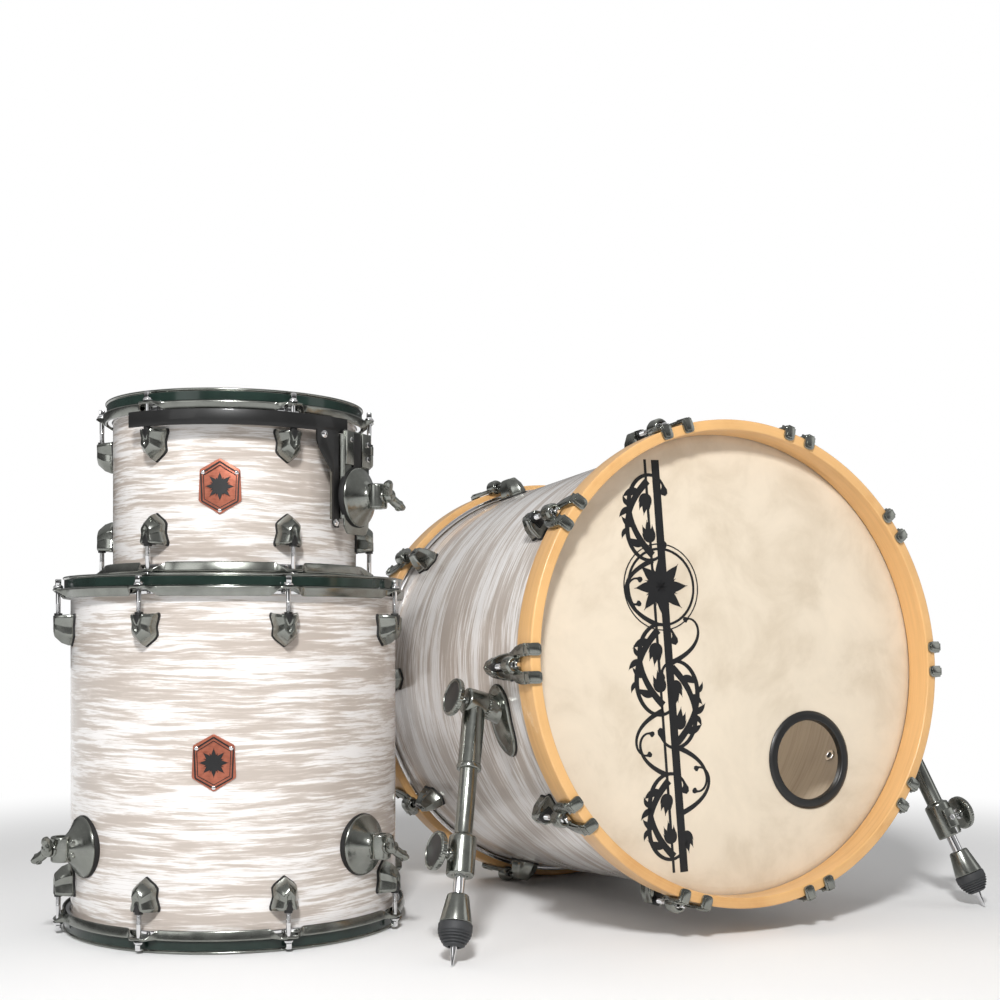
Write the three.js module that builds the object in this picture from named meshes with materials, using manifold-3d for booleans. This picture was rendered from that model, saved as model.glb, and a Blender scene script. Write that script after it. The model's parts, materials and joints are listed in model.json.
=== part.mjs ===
// An acoustic drum kit set out for display: a 22 x 18 in bass drum lying on its rear hoop and two
// folding spurs, a 16 x 16 in floor tom standing beside it and a 12 x 8 in rack tom standing on the
// floor tom's head. Millimetres, +Z up. The bass drum faces -Y, and the origin is on the floor
// under the middle of the kit's bounding box.
//
// Each drum is built in its own frame: +Y runs along the drum's axis, and an angle about that axis
// is measured from +Z towards +X.
import * as THREE from "three";
import { mergeVertices } from "three/addons/utils/BufferGeometryUtils.js";
import { ConvexGeometry } from "three/addons/geometries/ConvexGeometry.js";
import Module from "manifold-3d";

const wasm = await Module();
wasm.setup();

// ---- Driving dimensions ----
const INCH = 25.4;
const GAP = 0.3; // between pieces that touch on the real kit
const DEGREE = Math.PI / 180;

const BASS = { shellRadius: (22 * INCH) / 2, length: 18 * INCH, wall: 7, lugs: 10, facets: 40 };
const FLOOR = { shellRadius: (16 * INCH) / 2, length: 16 * INCH, wall: 6, lugs: 8, facets: 32 };
const RACK = { shellRadius: (12 * INCH) / 2, length: 8 * INCH, wall: 6, lugs: 6, facets: 24 };

const WOOD_HOOP = { inner: 282, outer: 295, width: 36 };
const BASS_TILT = 4 * DEGREE; // the spurs lift the front of the bass drum
const TOM_CENTRE = { x: -526, y: 375 }; // from the middle of the bass drum's front edge
const TOM_FACING = -22.7 * DEGREE; // the badges' direction, turned from -Y towards -X

const HEAD = { film: 1, rise: 12, fleshDepth: 8.6, fleshWidth: 6.6 };
const STEEL_HOOP = { height: 28, lip: 8, flange: 14, ear: 22, earPlane: 24, earWidth: 24 };
const ROD = { radius: 3, headRadius: 4.6, headLength: 14, sides: 6 };
const LUG = { width: 31, length: 38, fromRim: 46 };
const TOM_ROD_STANDOFF = 17; // from the shell's surface to a tension rod's axis
const BASS_ROD_STANDOFF = 21.6;
const BASS_LUG_CENTRE = 95; // from the bass drum's front or rear plane

const CLAW = {
  inside: 8.5, outside: 23, metal: 4, lift: 0.6, fork: 32, back: 50, tabLength: 12, headEnd: 34,
};
const PORT = { x: 111, z: -123, inner: 49.5, outer: 61.5, facets: 16 };
const SPUR = {
  angle: 257 * DEGREE, // the bracket plate's, about the bass drum's axis, on the drum's left
  bossAngle: 259.6 * DEGREE, // the boss sits above the middle of the plate
  along: 122, // from the bass drum's front plane to the bracket
  standoff: 36, // from the shell to the pivot, along the pivot's axis
  tip: { x: 388, y: 8 }, // where the spike meets the floor
};
const LEG = { sleeve: 13.5, tube: 10.5, bore: 6.9, rod: 6.4, clamp: 16, seat: 18, eye: 16, eyeHalf: 13.8 };
// Lengths down the leg from its pivot.
const LEG_AT = {
  sleeve: 84, clampTop: 165, clampEnd: 211, bore: 40, rodTop: 105, foot: 232, rubber: 264, end: 291,
};
const CLAMP_KNOB_AT = (LEG_AT.clampTop + LEG_AT.clampEnd) / 2;
const KNOB = { radius: 22.5, thickness: 8, shaft: 4, from: 14.1, disc: 24 };
const BRACKET = {
  disc: 36, rim: 4, cone: 7.5, neck: 11, receiver: 12.5, receiverAt: 28, receiverHeight: 30, bore: 6.6,
};
const BRACKET_ANGLES = [-54, 54, 180]; // degrees from the floor tom's badge
const BRACKET_HEIGHT = 110; // above the floor
// The wing bolts are left turned one way or the other, by this droop in degrees.
const WING = { half: 3.2, droop: 40, turns: [1, -1, -1], above: 3.5 };
// The rack tom's mount: angles in degrees from the badge, and heights from the bottom rim.
const MOUNT = {
  angle: 61, radius: 177, width: 58, thickness: 3, depth: 18,
  bottom: 63, bracket: 109, sideTop: 184, top: 189,
};
const RAIL = { inner: 173.5, outer: 176.5, bottom: 184.6, top: 203, from: -38, to: 68, tabs: [-30, 30] };
const WEB = { angle: 50.8, wide: 34, narrow: 9, bottom: 70, bend: 135 }; // the rail's arm
const BADGE = { width: 50, height: 66, inner: 0.4, outer: 2.4 };

// ---- Materials ----
const material = (color, roughness, metalness) =>
  new THREE.MeshStandardMaterial({ color, roughness, metalness });
const WRAP = material(0xdcd5ce, 0.3, 0);
const MAPLE = material(0xdca564, 0.45, 0);
const FILM = material(0xe0d4bd, 0.55, 0);
const BLACK_NICKEL = material(0x50534f, 0.18, 1);
const CHROME = material(0xc8c8ca, 0.1, 1);
const BLACK_STEEL = material(0x151515, 0.4, 0.5);
const BLACK_PLASTIC = material(0x101010, 0.4, 0);
const COPPER = material(0xb8624a, 0.3, 1);
const RUBBER = material(0x2c2d2e, 0.8, 0);

// ---- Solids ----
function solidOf(geometry) {
  const bare = geometry.clone();
  bare.deleteAttribute("normal");
  bare.deleteAttribute("uv");
  const merged = mergeVertices(bare, 1e-4);
  return new wasm.Manifold(
    new wasm.Mesh({
      numProp: 3,
      vertProperties: new Float32Array(merged.attributes.position.array),
      triVerts: new Uint32Array(merged.index.array),
    }),
  );
}

function geometryOf(solid) {
  const { numProp, numVert, vertProperties, triVerts } = solid.getMesh();
  const points = new Float32Array(numVert * 3);
  for (let i = 0; i < numVert; i++)
    points.set(vertProperties.subarray(i * numProp, i * numProp + 3), i * 3);
  const geometry = new THREE.BufferGeometry();
  geometry.setAttribute("position", new THREE.BufferAttribute(points, 3));
  geometry.setIndex(new THREE.BufferAttribute(triVerts, 1));
  geometry.computeVertexNormals();
  return geometry;
}

const join = (...solids) => solids.reduce((whole, next) => whole.add(next));

// A profile of [radius, along] points turned about +Y. A profile that leaves the axis is closed.
function turned(profile, facets) {
  const points = profile.map(([radius, along]) => new THREE.Vector2(radius, along));
  if (THREE.ShapeUtils.area(points) < 0) points.reverse();
  const last = points[points.length - 1];
  if (points[0].x > 0 || last.x > 0) points.push(points[0].clone());
  return new THREE.LatheGeometry(points, facets, Math.PI / facets);
}

const turnedSolid = (profile, facets) => solidOf(turned(profile, facets));

// A rod, disc or cone along +Y, from one end to the other.
const bar = (radius, from, to, facets, farRadius = radius) =>
  turnedSolid([[0, from], [radius, from], [farRadius, to], [0, to]], facets);

function block(x0, x1, y0, y1, z0, z1) {
  const geometry = new THREE.BoxGeometry(x1 - x0, y1 - y0, z1 - z0);
  geometry.translate((x0 + x1) / 2, (y0 + y1) / 2, (z0 + z1) / 2);
  return solidOf(geometry);
}

// An outline of [x, y] points extruded along +Z.
function extruded(outline, from, to) {
  const shape = new THREE.Shape(outline.map(([x, y]) => new THREE.Vector2(x, y)));
  const geometry = new THREE.ExtrudeGeometry(shape, { depth: to - from, bevelEnabled: false });
  return solidOf(geometry.translate(0, 0, from));
}

const moved = (solid, matrix) => solid.transform(matrix.toArray());

// From a piece's mounting frame (X round the drum, Y along its axis, Z outwards) to the drum's.
const around = (angle, radius, along) =>
  new THREE.Matrix4()
    .makeRotationY(angle)
    .setPosition(radius * Math.sin(angle), along, radius * Math.cos(angle));

const alongX = (solid) => moved(solid, new THREE.Matrix4().makeRotationZ(-Math.PI / 2));
const alongZ = (solid) => moved(solid, new THREE.Matrix4().makeRotationX(Math.PI / 2));

function mesh(name, shape, looks) {
  const geometry = shape.isBufferGeometry ? shape : geometryOf(shape);
  const made = new THREE.Mesh(geometry, looks);
  made.name = name;
  return made;
}

// ---- Shell, lugs and heads, the same on all three drums ----
// A die-cast lug in its mounting frame: square towards the rim at +Y, pointed away from it.
function lug(rodStandoff) {
  const points = [];
  const layer = (halfWidth, shoulder, point, height) => {
    for (const side of [-1, 1]) {
      points.push(new THREE.Vector3(side * halfWidth, LUG.length / 2, height));
      points.push(new THREE.Vector3(side * halfWidth * 0.9, shoulder, height));
    }
    points.push(new THREE.Vector3(0, point, height));
  };
  layer(LUG.width / 2, -LUG.length * 0.12, -LUG.length / 2, -2);
  layer(LUG.width / 2, -LUG.length * 0.12, -LUG.length / 2, 4);
  layer(LUG.width / 4, 0, -LUG.length / 4, rodStandoff + 5.4);
  return solidOf(new ConvexGeometry(points));
}

const lugAngles = (drum, first) =>
  Array.from({ length: drum.lugs }, (_, i) => (first + (i * 360) / drum.lugs) * DEGREE);

// The shell from one bearing edge to the other, with its lugs. Lug ends face the nearer edge.
function shellWithLugs(drum, edge, lugCentre, rodStandoff, firstLug) {
  const { shellRadius, wall, facets } = drum;
  const [low, high] = [edge, drum.total - edge];
  const tube = turnedSolid(
    [[shellRadius - wall, low], [shellRadius, low], [shellRadius, high], [shellRadius - wall, high]],
    facets,
  );
  const one = lug(rodStandoff);
  const flipped = moved(one, new THREE.Matrix4().makeRotationZ(Math.PI));
  const lugs = lugAngles(drum, firstLug).flatMap((angle) => [
    moved(flipped, around(angle, shellRadius, lugCentre)),
    moved(one, around(angle, shellRadius, drum.total - lugCentre)),
  ]);
  return join(tube, ...lugs);
}

// A head seen from its open side: film across the bearing edge at `edge`, flesh hoop below it.
function headProfile(innerRadius, outerRadius, edge) {
  const shoulder = edge + HEAD.film + GAP + 1.1;
  return [
    [0, edge],
    [innerRadius, edge],
    [innerRadius, shoulder],
    [outerRadius, shoulder],
    [outerRadius, shoulder + HEAD.fleshDepth],
    [outerRadius - HEAD.fleshWidth + 0.5, shoulder + HEAD.fleshDepth],
    [outerRadius - HEAD.fleshWidth + 0.5, edge + HEAD.film],
    [0, edge + HEAD.film],
  ];
}

// Turns a piece made for the low end of a drum end for end.
const flipEnd = (group, drum) => {
  group.rotation.z = Math.PI;
  group.position.y = drum.total;
  return group;
};

// ---- Bass drum ----
BASS.total = BASS.length + 2 * WOOD_HOOP.width;
const FIRST_BASS_LUG = 18;

// A forked hook over the hoop's edge with its tension rod, in a mounting frame on the hoop's outside.
function claw() {
  const { inside, outside, metal, lift, fork, back, tabLength, headEnd } = CLAW;
  const front = -GAP - metal;
  const yoke = extruded(
    [
      [-outside, front], [-inside, front], [-inside, fork - 6], [-inside / 2, fork],
      [inside / 2, fork], [inside, fork - 6], [inside, front], [outside, front],
      [outside, fork], [inside, back], [-inside, back], [-outside, fork],
    ],
    lift,
    lift + metal,
  );
  const tabs = [-1, 1].map((side) => {
    const [x0, x1] = side < 0 ? [-outside, -inside] : [inside, outside];
    return block(x0, x1, front, -GAP, -tabLength, lift + metal);
  });
  const rodHeight = BASS.shellRadius + BASS_ROD_STANDOFF - WOOD_HOOP.outer;
  const saddle = block(-inside, inside, headEnd - 2, back - 2, lift, rodHeight + 7);
  const lugFace = BASS_LUG_CENTRE - LUG.length / 2 - GAP;
  const rod = turnedSolid(
    [
      [0, lugFace], [ROD.radius, lugFace], [ROD.radius, headEnd],
      [ROD.headRadius, headEnd], [ROD.headRadius, headEnd - ROD.headLength],
      [0, headEnd - ROD.headLength],
    ],
    ROD.sides,
  ).translate([0, 0, rodHeight]);
  return join(yoke, ...tabs, saddle, rod);
}

function bassDrum() {
  const drum = new THREE.Group();
  const edge = WOOD_HOOP.width;
  const shell = shellWithLugs(BASS, edge, BASS_LUG_CENTRE, BASS_ROD_STANDOFF, FIRST_BASS_LUG);
  drum.add(mesh("bass_shell", shell, WRAP));

  const hoop = turned(
    [
      [WOOD_HOOP.inner, 0], [WOOD_HOOP.outer, 0],
      [WOOD_HOOP.outer, WOOD_HOOP.width], [WOOD_HOOP.inner, WOOD_HOOP.width],
    ],
    BASS.facets,
  );
  const profile = headProfile(WOOD_HOOP.inner - GAP, 287, edge - HEAD.film - GAP);
  const batter = turned(profile, BASS.facets);
  const portHole = bar(PORT.outer - 8, 0, 60, PORT.facets).translate([PORT.x, 0, PORT.z]);
  const front = turnedSolid(profile, BASS.facets).subtract(portHole);
  const clawShape = geometryOf(claw());

  for (const end of ["front", "rear"]) {
    const half = new THREE.Group();
    half.add(mesh(`bass_${end}_hoop`, hoop, MAPLE));
    half.add(mesh(`bass_${end}_head`, end === "front" ? front : batter, FILM));
    lugAngles(BASS, FIRST_BASS_LUG).forEach((angle, i) => {
      const piece = mesh(`bass_${end}_claw_${i + 1}`, clawShape, BLACK_NICKEL);
      piece.rotation.y = angle;
      piece.position.set(WOOD_HOOP.outer * Math.sin(angle), 0, WOOD_HOOP.outer * Math.cos(angle));
      half.add(piece);
    });
    drum.add(end === "front" ? half : flipEnd(half, BASS));
  }

  const filmFace = edge - HEAD.film - GAP;
  const ring = turned(
    [
      [PORT.inner, filmFace - 3.4], [PORT.outer, filmFace - 3.4], [PORT.outer, filmFace - GAP],
      [PORT.outer - 8.5, filmFace - GAP], [PORT.outer - 8.5, filmFace + 5], [PORT.inner, filmFace + 5],
    ],
    PORT.facets,
  );
  const port = mesh("bass_port_ring", ring, BLACK_PLASTIC);
  port.position.set(PORT.x, 0, PORT.z);
  drum.add(port);

  // The rear hoop's lowest facet rests on the floor, and the drum leans back on it.
  const reach = WOOD_HOOP.outer * Math.cos(Math.PI / BASS.facets);
  drum.rotation.x = -BASS_TILT;
  drum.position.z = reach * Math.cos(BASS_TILT) + BASS.total * Math.sin(BASS_TILT);
  return drum;
}

// ---- Spurs ----
// A disc-shaped thumb screw along +X, from the face it screws into.
const knob = () =>
  turned(
    [
      [0, KNOB.from], [KNOB.shaft, KNOB.from], [KNOB.shaft, KNOB.disc], [KNOB.radius - 2, KNOB.disc],
      [KNOB.radius, KNOB.disc + KNOB.thickness / 2], [KNOB.radius - 2, KNOB.disc + KNOB.thickness],
      [0, KNOB.disc + KNOB.thickness],
    ],
    14,
  ).rotateZ(-Math.PI / 2);

function spurLeg() {
  const at = LEG_AT;
  const tube = turnedSolid(
    [
      [0, 4], [LEG.sleeve, 4], [LEG.sleeve, -at.sleeve], [LEG.tube, -at.sleeve],
      [LEG.tube, -at.clampTop], [LEG.clamp, -at.clampTop], [LEG.clamp, -at.clampEnd],
      [LEG.bore, -at.clampEnd], [LEG.bore, -at.bore], [0, -at.bore],
    ],
    12,
  );
  const eye = alongX(bar(LEG.eye, -LEG.eyeHalf, LEG.eyeHalf, 14));
  const seat = alongX(bar(7, LEG.clamp - 4, LEG.seat, 10)).translate([0, -CLAMP_KNOB_AT, 0]);
  return join(tube, eye, seat);
}

function spurRod(tipLength) {
  return turned(
    [
      [0, -LEG_AT.rodTop], [LEG.rod, -LEG_AT.rodTop], [LEG.rod, -LEG_AT.end + 6],
      [3.4, -LEG_AT.end - 1], [1.2, -tipLength], [0, -tipLength],
    ],
    10,
  );
}

function spurFoot() {
  const at = LEG_AT;
  const inner = LEG.rod + 0.5;
  return turned(
    [
      [inner, -at.foot], [12, -at.foot], [18, -at.rubber], [19.2, -at.rubber - 1],
      [19.2, -at.rubber - 16], [12, -at.end], [inner, -at.end],
    ],
    14,
  );
}

// The bracket in the spur's frame: a boss on the pivot's axis, on a plate that fits the shell.
function spurBracket(toSpur, onShell) {
  const plateOutline = [];
  const [halfLong, halfWide] = [44, 28];
  for (let i = 0; i < 16; i++) {
    const turn = (i / 16) * 2 * Math.PI;
    const pinch = 1 - 0.12 * Math.cos(2 * turn) ** 2;
    plateOutline.push([halfLong * Math.cos(turn), halfWide * pinch * Math.sin(turn)]);
  }
  const plate = moved(extruded(plateOutline, -6, 5.5), toSpur.clone().multiply(onShell));
  const shellBody = moved(bar(BASS.shellRadius + 0.4, 0, BASS.total, 120), toSpur);
  const boss = alongX(bar(15, -SPUR.standoff - 6, -LEG.eyeHalf - GAP, 14, 14));
  return join(plate, boss).subtract(shellBody);
}

// One spur, and the group that carries it. side is -1 on the drum's left and 1 on its right.
function spur(side, drum) {
  drum.updateMatrix();
  const toKit = drum.matrix;
  const onShell = (angle) => around(-side * angle, BASS.shellRadius, SPUR.along);
  const seat = new THREE.Vector3().setFromMatrixPosition(onShell(SPUR.bossAngle)).applyMatrix4(toKit);
  const tip = new THREE.Vector3(side * SPUR.tip.x, SPUR.tip.y, 0.6);
  // The leg folds back to lie along +Y, so the pivot's axis is square to the leg and to +Y.
  const axis = new THREE.Vector3(side, 0, 0.3).normalize();
  const pivot = new THREE.Vector3();
  for (let i = 0; i < 8; i++) {
    pivot.copy(seat).addScaledVector(axis, SPUR.standoff);
    const down = tip.clone().sub(pivot);
    axis.set(-down.z * side, 0, down.x * side).normalize();
  }
  const up = pivot.clone().sub(tip).normalize();
  const third = new THREE.Vector3().crossVectors(axis, up);

  const group = new THREE.Group();
  group.matrix.makeBasis(axis, up, third).setPosition(pivot);
  group.matrix.decompose(group.position, group.quaternion, group.scale);

  const name = side < 0 ? "left" : "right";
  const toSpur = group.matrix.clone().invert().multiply(toKit);
  group.add(mesh(`spur_bracket_${name}`, spurBracket(toSpur, onShell(SPUR.angle)), BLACK_NICKEL));
  group.add(mesh(`spur_leg_${name}`, spurLeg(), BLACK_NICKEL));
  group.add(mesh(`spur_rod_${name}`, spurRod(pivot.distanceTo(tip)), CHROME));
  group.add(mesh(`spur_foot_${name}`, spurFoot(), RUBBER));
  group.add(mesh(`spur_pivot_knob_${name}`, knob(), BLACK_NICKEL));
  const lower = mesh(`spur_clamp_knob_${name}`, knob(), BLACK_NICKEL);
  lower.position.set(LEG.seat + GAP - KNOB.from, -CLAMP_KNOB_AT, 0);
  group.add(lower);
  return group;
}

// ---- Toms ----
for (const tom of [FLOOR, RACK]) tom.total = tom.length + 2 * (HEAD.rise + HEAD.film + GAP);

// A flanged steel hoop with its ears and tension rods, at the low end of a tom.
function steelHoop(tom, firstLug) {
  const r = tom.shellRadius;
  const { height, lip, flange, ear, earPlane, earWidth } = STEEL_HOOP;
  const band = turnedSolid(
    [
      [r + 2.5, 0], [r + lip, 0], [r + 5, 4], [r + 5, 13], [r + flange, earPlane - 2],
      [r + flange, earPlane + 1], [r + 7, height], [r + 7, 14], [r + 2.5, 14],
    ],
    tom.facets,
  );
  const lugFace = LUG.fromRim - GAP;
  const headEnd = earPlane - 1 - ROD.headLength;
  const rod = turnedSolid(
    [
      [0, lugFace], [ROD.radius, lugFace], [ROD.radius, earPlane], [ROD.headRadius, earPlane],
      [ROD.headRadius, headEnd], [0, headEnd],
    ],
    ROD.sides,
  ).translate([0, 0, TOM_ROD_STANDOFF]);
  const tab = block(-earWidth / 2, earWidth / 2, earPlane - 1.5, earPlane + 1, 10, ear);
  const one = join(tab, rod);
  return join(band, ...lugAngles(tom, firstLug).map((angle) => moved(one, around(angle, r, 0))));
}

// A badge: a six-sided plate bent round the shell, in the drum's frame.
function badge(tom) {
  const [w, h] = [BADGE.width / 2, BADGE.height / 2];
  const outline = [[-w, -h * 0.55], [0, -h], [w, -h * 0.55], [w, h * 0.55], [0, h], [-w, h * 0.55]];
  const prism = extruded(outline, tom.shellRadius - 10, tom.shellRadius + 10);
  const skin = turnedSolid(
    [
      [tom.shellRadius + BADGE.inner, -h - 1], [tom.shellRadius + BADGE.outer, -h - 1],
      [tom.shellRadius + BADGE.outer, h + 1], [tom.shellRadius + BADGE.inner, h + 1],
    ],
    tom.facets,
  );
  return prism.intersect(skin).translate([0, tom.total / 2, 0]);
}

function tom(name, drum, firstLug) {
  const group = new THREE.Group();
  const edge = HEAD.rise + HEAD.film + GAP;
  const lugCentre = LUG.fromRim + LUG.length / 2;
  const shell = shellWithLugs(drum, edge, lugCentre, TOM_ROD_STANDOFF, firstLug);
  group.add(mesh(`${name}_shell`, shell, WRAP));
  const hoop = geometryOf(steelHoop(drum, firstLug));
  const head = turned(
    headProfile(drum.shellRadius + 2.1, drum.shellRadius + 6.6, HEAD.rise),
    drum.facets,
  );
  for (const end of ["bottom", "top"]) {
    const half = new THREE.Group();
    half.add(mesh(`${name}_${end}_hoop`, hoop, BLACK_NICKEL));
    half.add(mesh(`${name}_${end}_head`, head, FILM));
    group.add(end === "bottom" ? half : flipEnd(half, drum));
  }
  group.add(mesh(`${name}_badge`, badge(drum), COPPER));
  group.rotation.set(Math.PI / 2, TOM_FACING, 0);
  return group;
}

// ---- Clamping brackets ----
// A round cast bracket in its mounting frame, with a bore along +Y for a leg or arm.
function bracket() {
  const { disc, receiver, receiverAt, receiverHeight, bore } = BRACKET;
  const { rim, cone, neck } = BRACKET;
  const dome = alongZ(
    turnedSolid(
      [
        [0, -3], [disc, -3], [disc, rim], [disc - 4.5, cone], [neck + 2, receiverAt - receiver + 1.5],
        [neck, receiverAt - 4], [0, receiverAt - 4],
      ],
      18,
    ),
  );
  const half = receiverHeight / 2;
  const barrel = bar(receiver, -half, half, 14).translate([0, 0, receiverAt]);
  const hole = bar(bore, -half - 1, half + 1, 12).translate([0, 0, receiverAt]);
  return join(dome, barrel).subtract(hole);
}

// A wing bolt along +Z, which pinches the leg or arm in the bracket, left turned by some degrees.
function wingBolt(turn) {
  const from = BRACKET.receiverAt + BRACKET.receiver + GAP;
  const shaft = alongZ(
    turnedSolid(
      [[0, from], [4, from], [4, from + 1.2], [7, from + 1.8], [5.5, from + 10], [0, from + 10]],
      8,
    ),
  );
  const wings = extruded(
    [[-6, -2], [6, -2], [19, 3], [21, 10], [13, 9.5], [5, 6], [-5, 6], [-13, 9.5], [-21, 10], [-19, 3]],
    -WING.half,
    WING.half,
  );
  const standing = moved(wings, new THREE.Matrix4().makeRotationX(Math.PI / 2));
  return join(shaft, standing.translate([0, 0, from + WING.above])).rotate([0, 0, turn]);
}

function floorTom() {
  const group = tom("floor_tom", FLOOR, 22.5);
  const seat = bar(FLOOR.shellRadius + 0.4, -60, 60, 96).translate([0, 0, -FLOOR.shellRadius]);
  const body = geometryOf(bracket().subtract(seat));
  BRACKET_ANGLES.forEach((degrees, i) => {
    const place = around(degrees * DEGREE, FLOOR.shellRadius, BRACKET_HEIGHT);
    for (const piece of [
      mesh(`floor_leg_bracket_${i + 1}`, body, BLACK_NICKEL),
      mesh(`floor_wing_bolt_${i + 1}`, wingBolt(WING.turns[i] * WING.droop), BLACK_NICKEL),
    ]) {
      piece.applyMatrix4(place);
      group.add(piece);
    }
  });
  return group;
}

// The rack tom's suspension rail: a curved strip outside the rods, with a tab round each.
function rail() {
  const { inner, outer, bottom, top, from, to } = RAIL;
  const points = [];
  const steps = 12;
  const middle = (bottom + top) / 2;
  const arc = (radius, turn) => [
    radius * Math.sin(turn * DEGREE),
    radius * Math.cos(turn * DEGREE),
  ];
  for (let i = 0; i <= steps; i++) points.push(arc(outer, from + ((to - from) * i) / steps));
  for (let i = steps; i >= 0; i--) points.push(arc(inner, from + ((to - from) * i) / steps));
  // Extruded along +Z, then stood up so that the outline lies across the drum's axis.
  const upright = new THREE.Matrix4().set(1, 0, 0, 0, 0, 0, 1, 0, 0, 1, 0, 0, 0, 0, 0, 1);
  const strip = moved(extruded(points, bottom, top), upright);
  const rodAt = RACK.shellRadius + TOM_ROD_STANDOFF - inner;
  const hole = bar(ROD.radius + 0.6, middle - 3, middle + 3, 8).translate([0, 0, rodAt]);
  const tab = block(-8, 8, middle - 2, middle + 2, -9, 0.5).subtract(hole);
  const tabs = RAIL.tabs.map((degrees) => moved(tab, around(degrees * DEGREE, inner, 0)));
  return join(strip, ...tabs, web());
}

// The arm that runs down from the rail beside the mounting plate, curved like the rail.
function web() {
  const root = RAIL.bottom + 3;
  const outline = [
    [-WEB.wide, root], [-WEB.wide, RAIL.bottom - 12], [-WEB.narrow, WEB.bend],
    [-WEB.narrow, WEB.bottom + 6], [-WEB.narrow + 5, WEB.bottom], [0, WEB.bottom], [0, root],
  ];
  const skin = turnedSolid(
    [
      [RAIL.inner, WEB.bottom - 1], [RAIL.outer, WEB.bottom - 1],
      [RAIL.outer, root + 1], [RAIL.inner, root + 1],
    ],
    72,
  );
  const flat = extruded(outline, RAIL.inner - 10, RAIL.outer + 10);
  return moved(flat.intersect(skin), new THREE.Matrix4().makeRotationY(WEB.angle * DEGREE));
}

// The plate that carries the rack tom's bracket: a channel with its two sides towards the shell.
function mountPlate() {
  const { width, bottom, top, thickness, sideTop, depth } = MOUNT;
  const half = width / 2;
  const corner = 14;
  const face = extruded(
    [
      [-half, bottom + corner], [-half + corner, bottom], [half - corner, bottom],
      [half, bottom + corner], [half, top], [-half, top],
    ],
    0,
    thickness,
  );
  const sides = [-half, half - thickness].map((x) =>
    block(x, x + thickness, bottom + corner, sideTop, -depth, thickness),
  );
  return join(face, ...sides);
}

function rackTom() {
  const group = tom("rack_tom", RACK, 30);
  group.add(mesh("rack_mount_rail", rail(), BLACK_STEEL));
  const turn = MOUNT.angle * DEGREE;
  const onPlate = around(turn, MOUNT.radius + MOUNT.thickness + GAP, MOUNT.bracket);
  const size = BRACKET.disc + 1;
  const body = bracket().subtract(block(-size, size, -size, size, -10, 0));
  const pieces = [
    [mesh("rack_mount_plate", mountPlate(), BLACK_NICKEL), around(turn, MOUNT.radius, 0)],
    [mesh("rack_mount_bracket", body, BLACK_NICKEL), onPlate],
    [mesh("rack_wing_bolt", wingBolt(-WING.droop), BLACK_NICKEL), onPlate],
  ];
  for (const [piece, place] of pieces) {
    piece.applyMatrix4(place);
    group.add(piece);
  }
  return group;
}

// ---- The kit ----
const kit = new THREE.Group();
const bass = bassDrum();
kit.add(bass, spur(-1, bass), spur(1, bass));
const floor = floorTom();
floor.position.set(TOM_CENTRE.x, TOM_CENTRE.y, 0);
const rack = rackTom();
rack.position.set(TOM_CENTRE.x, TOM_CENTRE.y, FLOOR.total - HEAD.rise + GAP);
kit.add(floor, rack);

const bounds = new THREE.Box3().setFromObject(kit, true);
kit.position.set(-(bounds.min.x + bounds.max.x) / 2, -(bounds.min.y + bounds.max.y) / 2, -bounds.min.z);

export default kit;
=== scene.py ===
"""An acoustic drum kit in a plain studio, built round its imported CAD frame.

Every shape is made in millimetres in the frame of its own drum, lug, claw, bracket or spur leg, and
becomes a mesh in metres. A drum's frame has +Y along its axis, and a mounting frame on its shell has
X round the drum, Y along its axis and Z outwards.
"""

import json
import math
import random

import bmesh
import bpy
from mathutils import Matrix, Vector

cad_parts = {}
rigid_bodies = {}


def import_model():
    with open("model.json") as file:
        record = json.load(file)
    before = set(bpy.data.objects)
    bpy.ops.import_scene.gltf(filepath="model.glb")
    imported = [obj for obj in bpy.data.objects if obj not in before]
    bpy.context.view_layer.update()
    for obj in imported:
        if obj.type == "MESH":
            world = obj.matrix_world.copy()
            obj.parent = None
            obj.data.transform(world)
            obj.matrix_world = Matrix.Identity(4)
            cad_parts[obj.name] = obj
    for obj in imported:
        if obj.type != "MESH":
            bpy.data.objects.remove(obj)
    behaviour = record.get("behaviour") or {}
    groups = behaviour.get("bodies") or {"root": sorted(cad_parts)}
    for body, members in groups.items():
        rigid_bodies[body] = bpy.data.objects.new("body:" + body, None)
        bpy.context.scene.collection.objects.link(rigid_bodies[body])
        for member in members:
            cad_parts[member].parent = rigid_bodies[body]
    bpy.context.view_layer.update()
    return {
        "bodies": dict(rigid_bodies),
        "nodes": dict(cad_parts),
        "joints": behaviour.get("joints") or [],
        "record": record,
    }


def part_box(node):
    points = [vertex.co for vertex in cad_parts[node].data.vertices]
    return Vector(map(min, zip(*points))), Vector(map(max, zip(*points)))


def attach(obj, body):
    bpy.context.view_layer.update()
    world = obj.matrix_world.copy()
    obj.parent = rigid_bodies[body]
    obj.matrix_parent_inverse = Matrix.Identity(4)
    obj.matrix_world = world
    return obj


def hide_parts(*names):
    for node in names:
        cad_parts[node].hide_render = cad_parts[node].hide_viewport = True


MM = 0.001
SHARP_ANGLE = math.radians(32)

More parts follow.
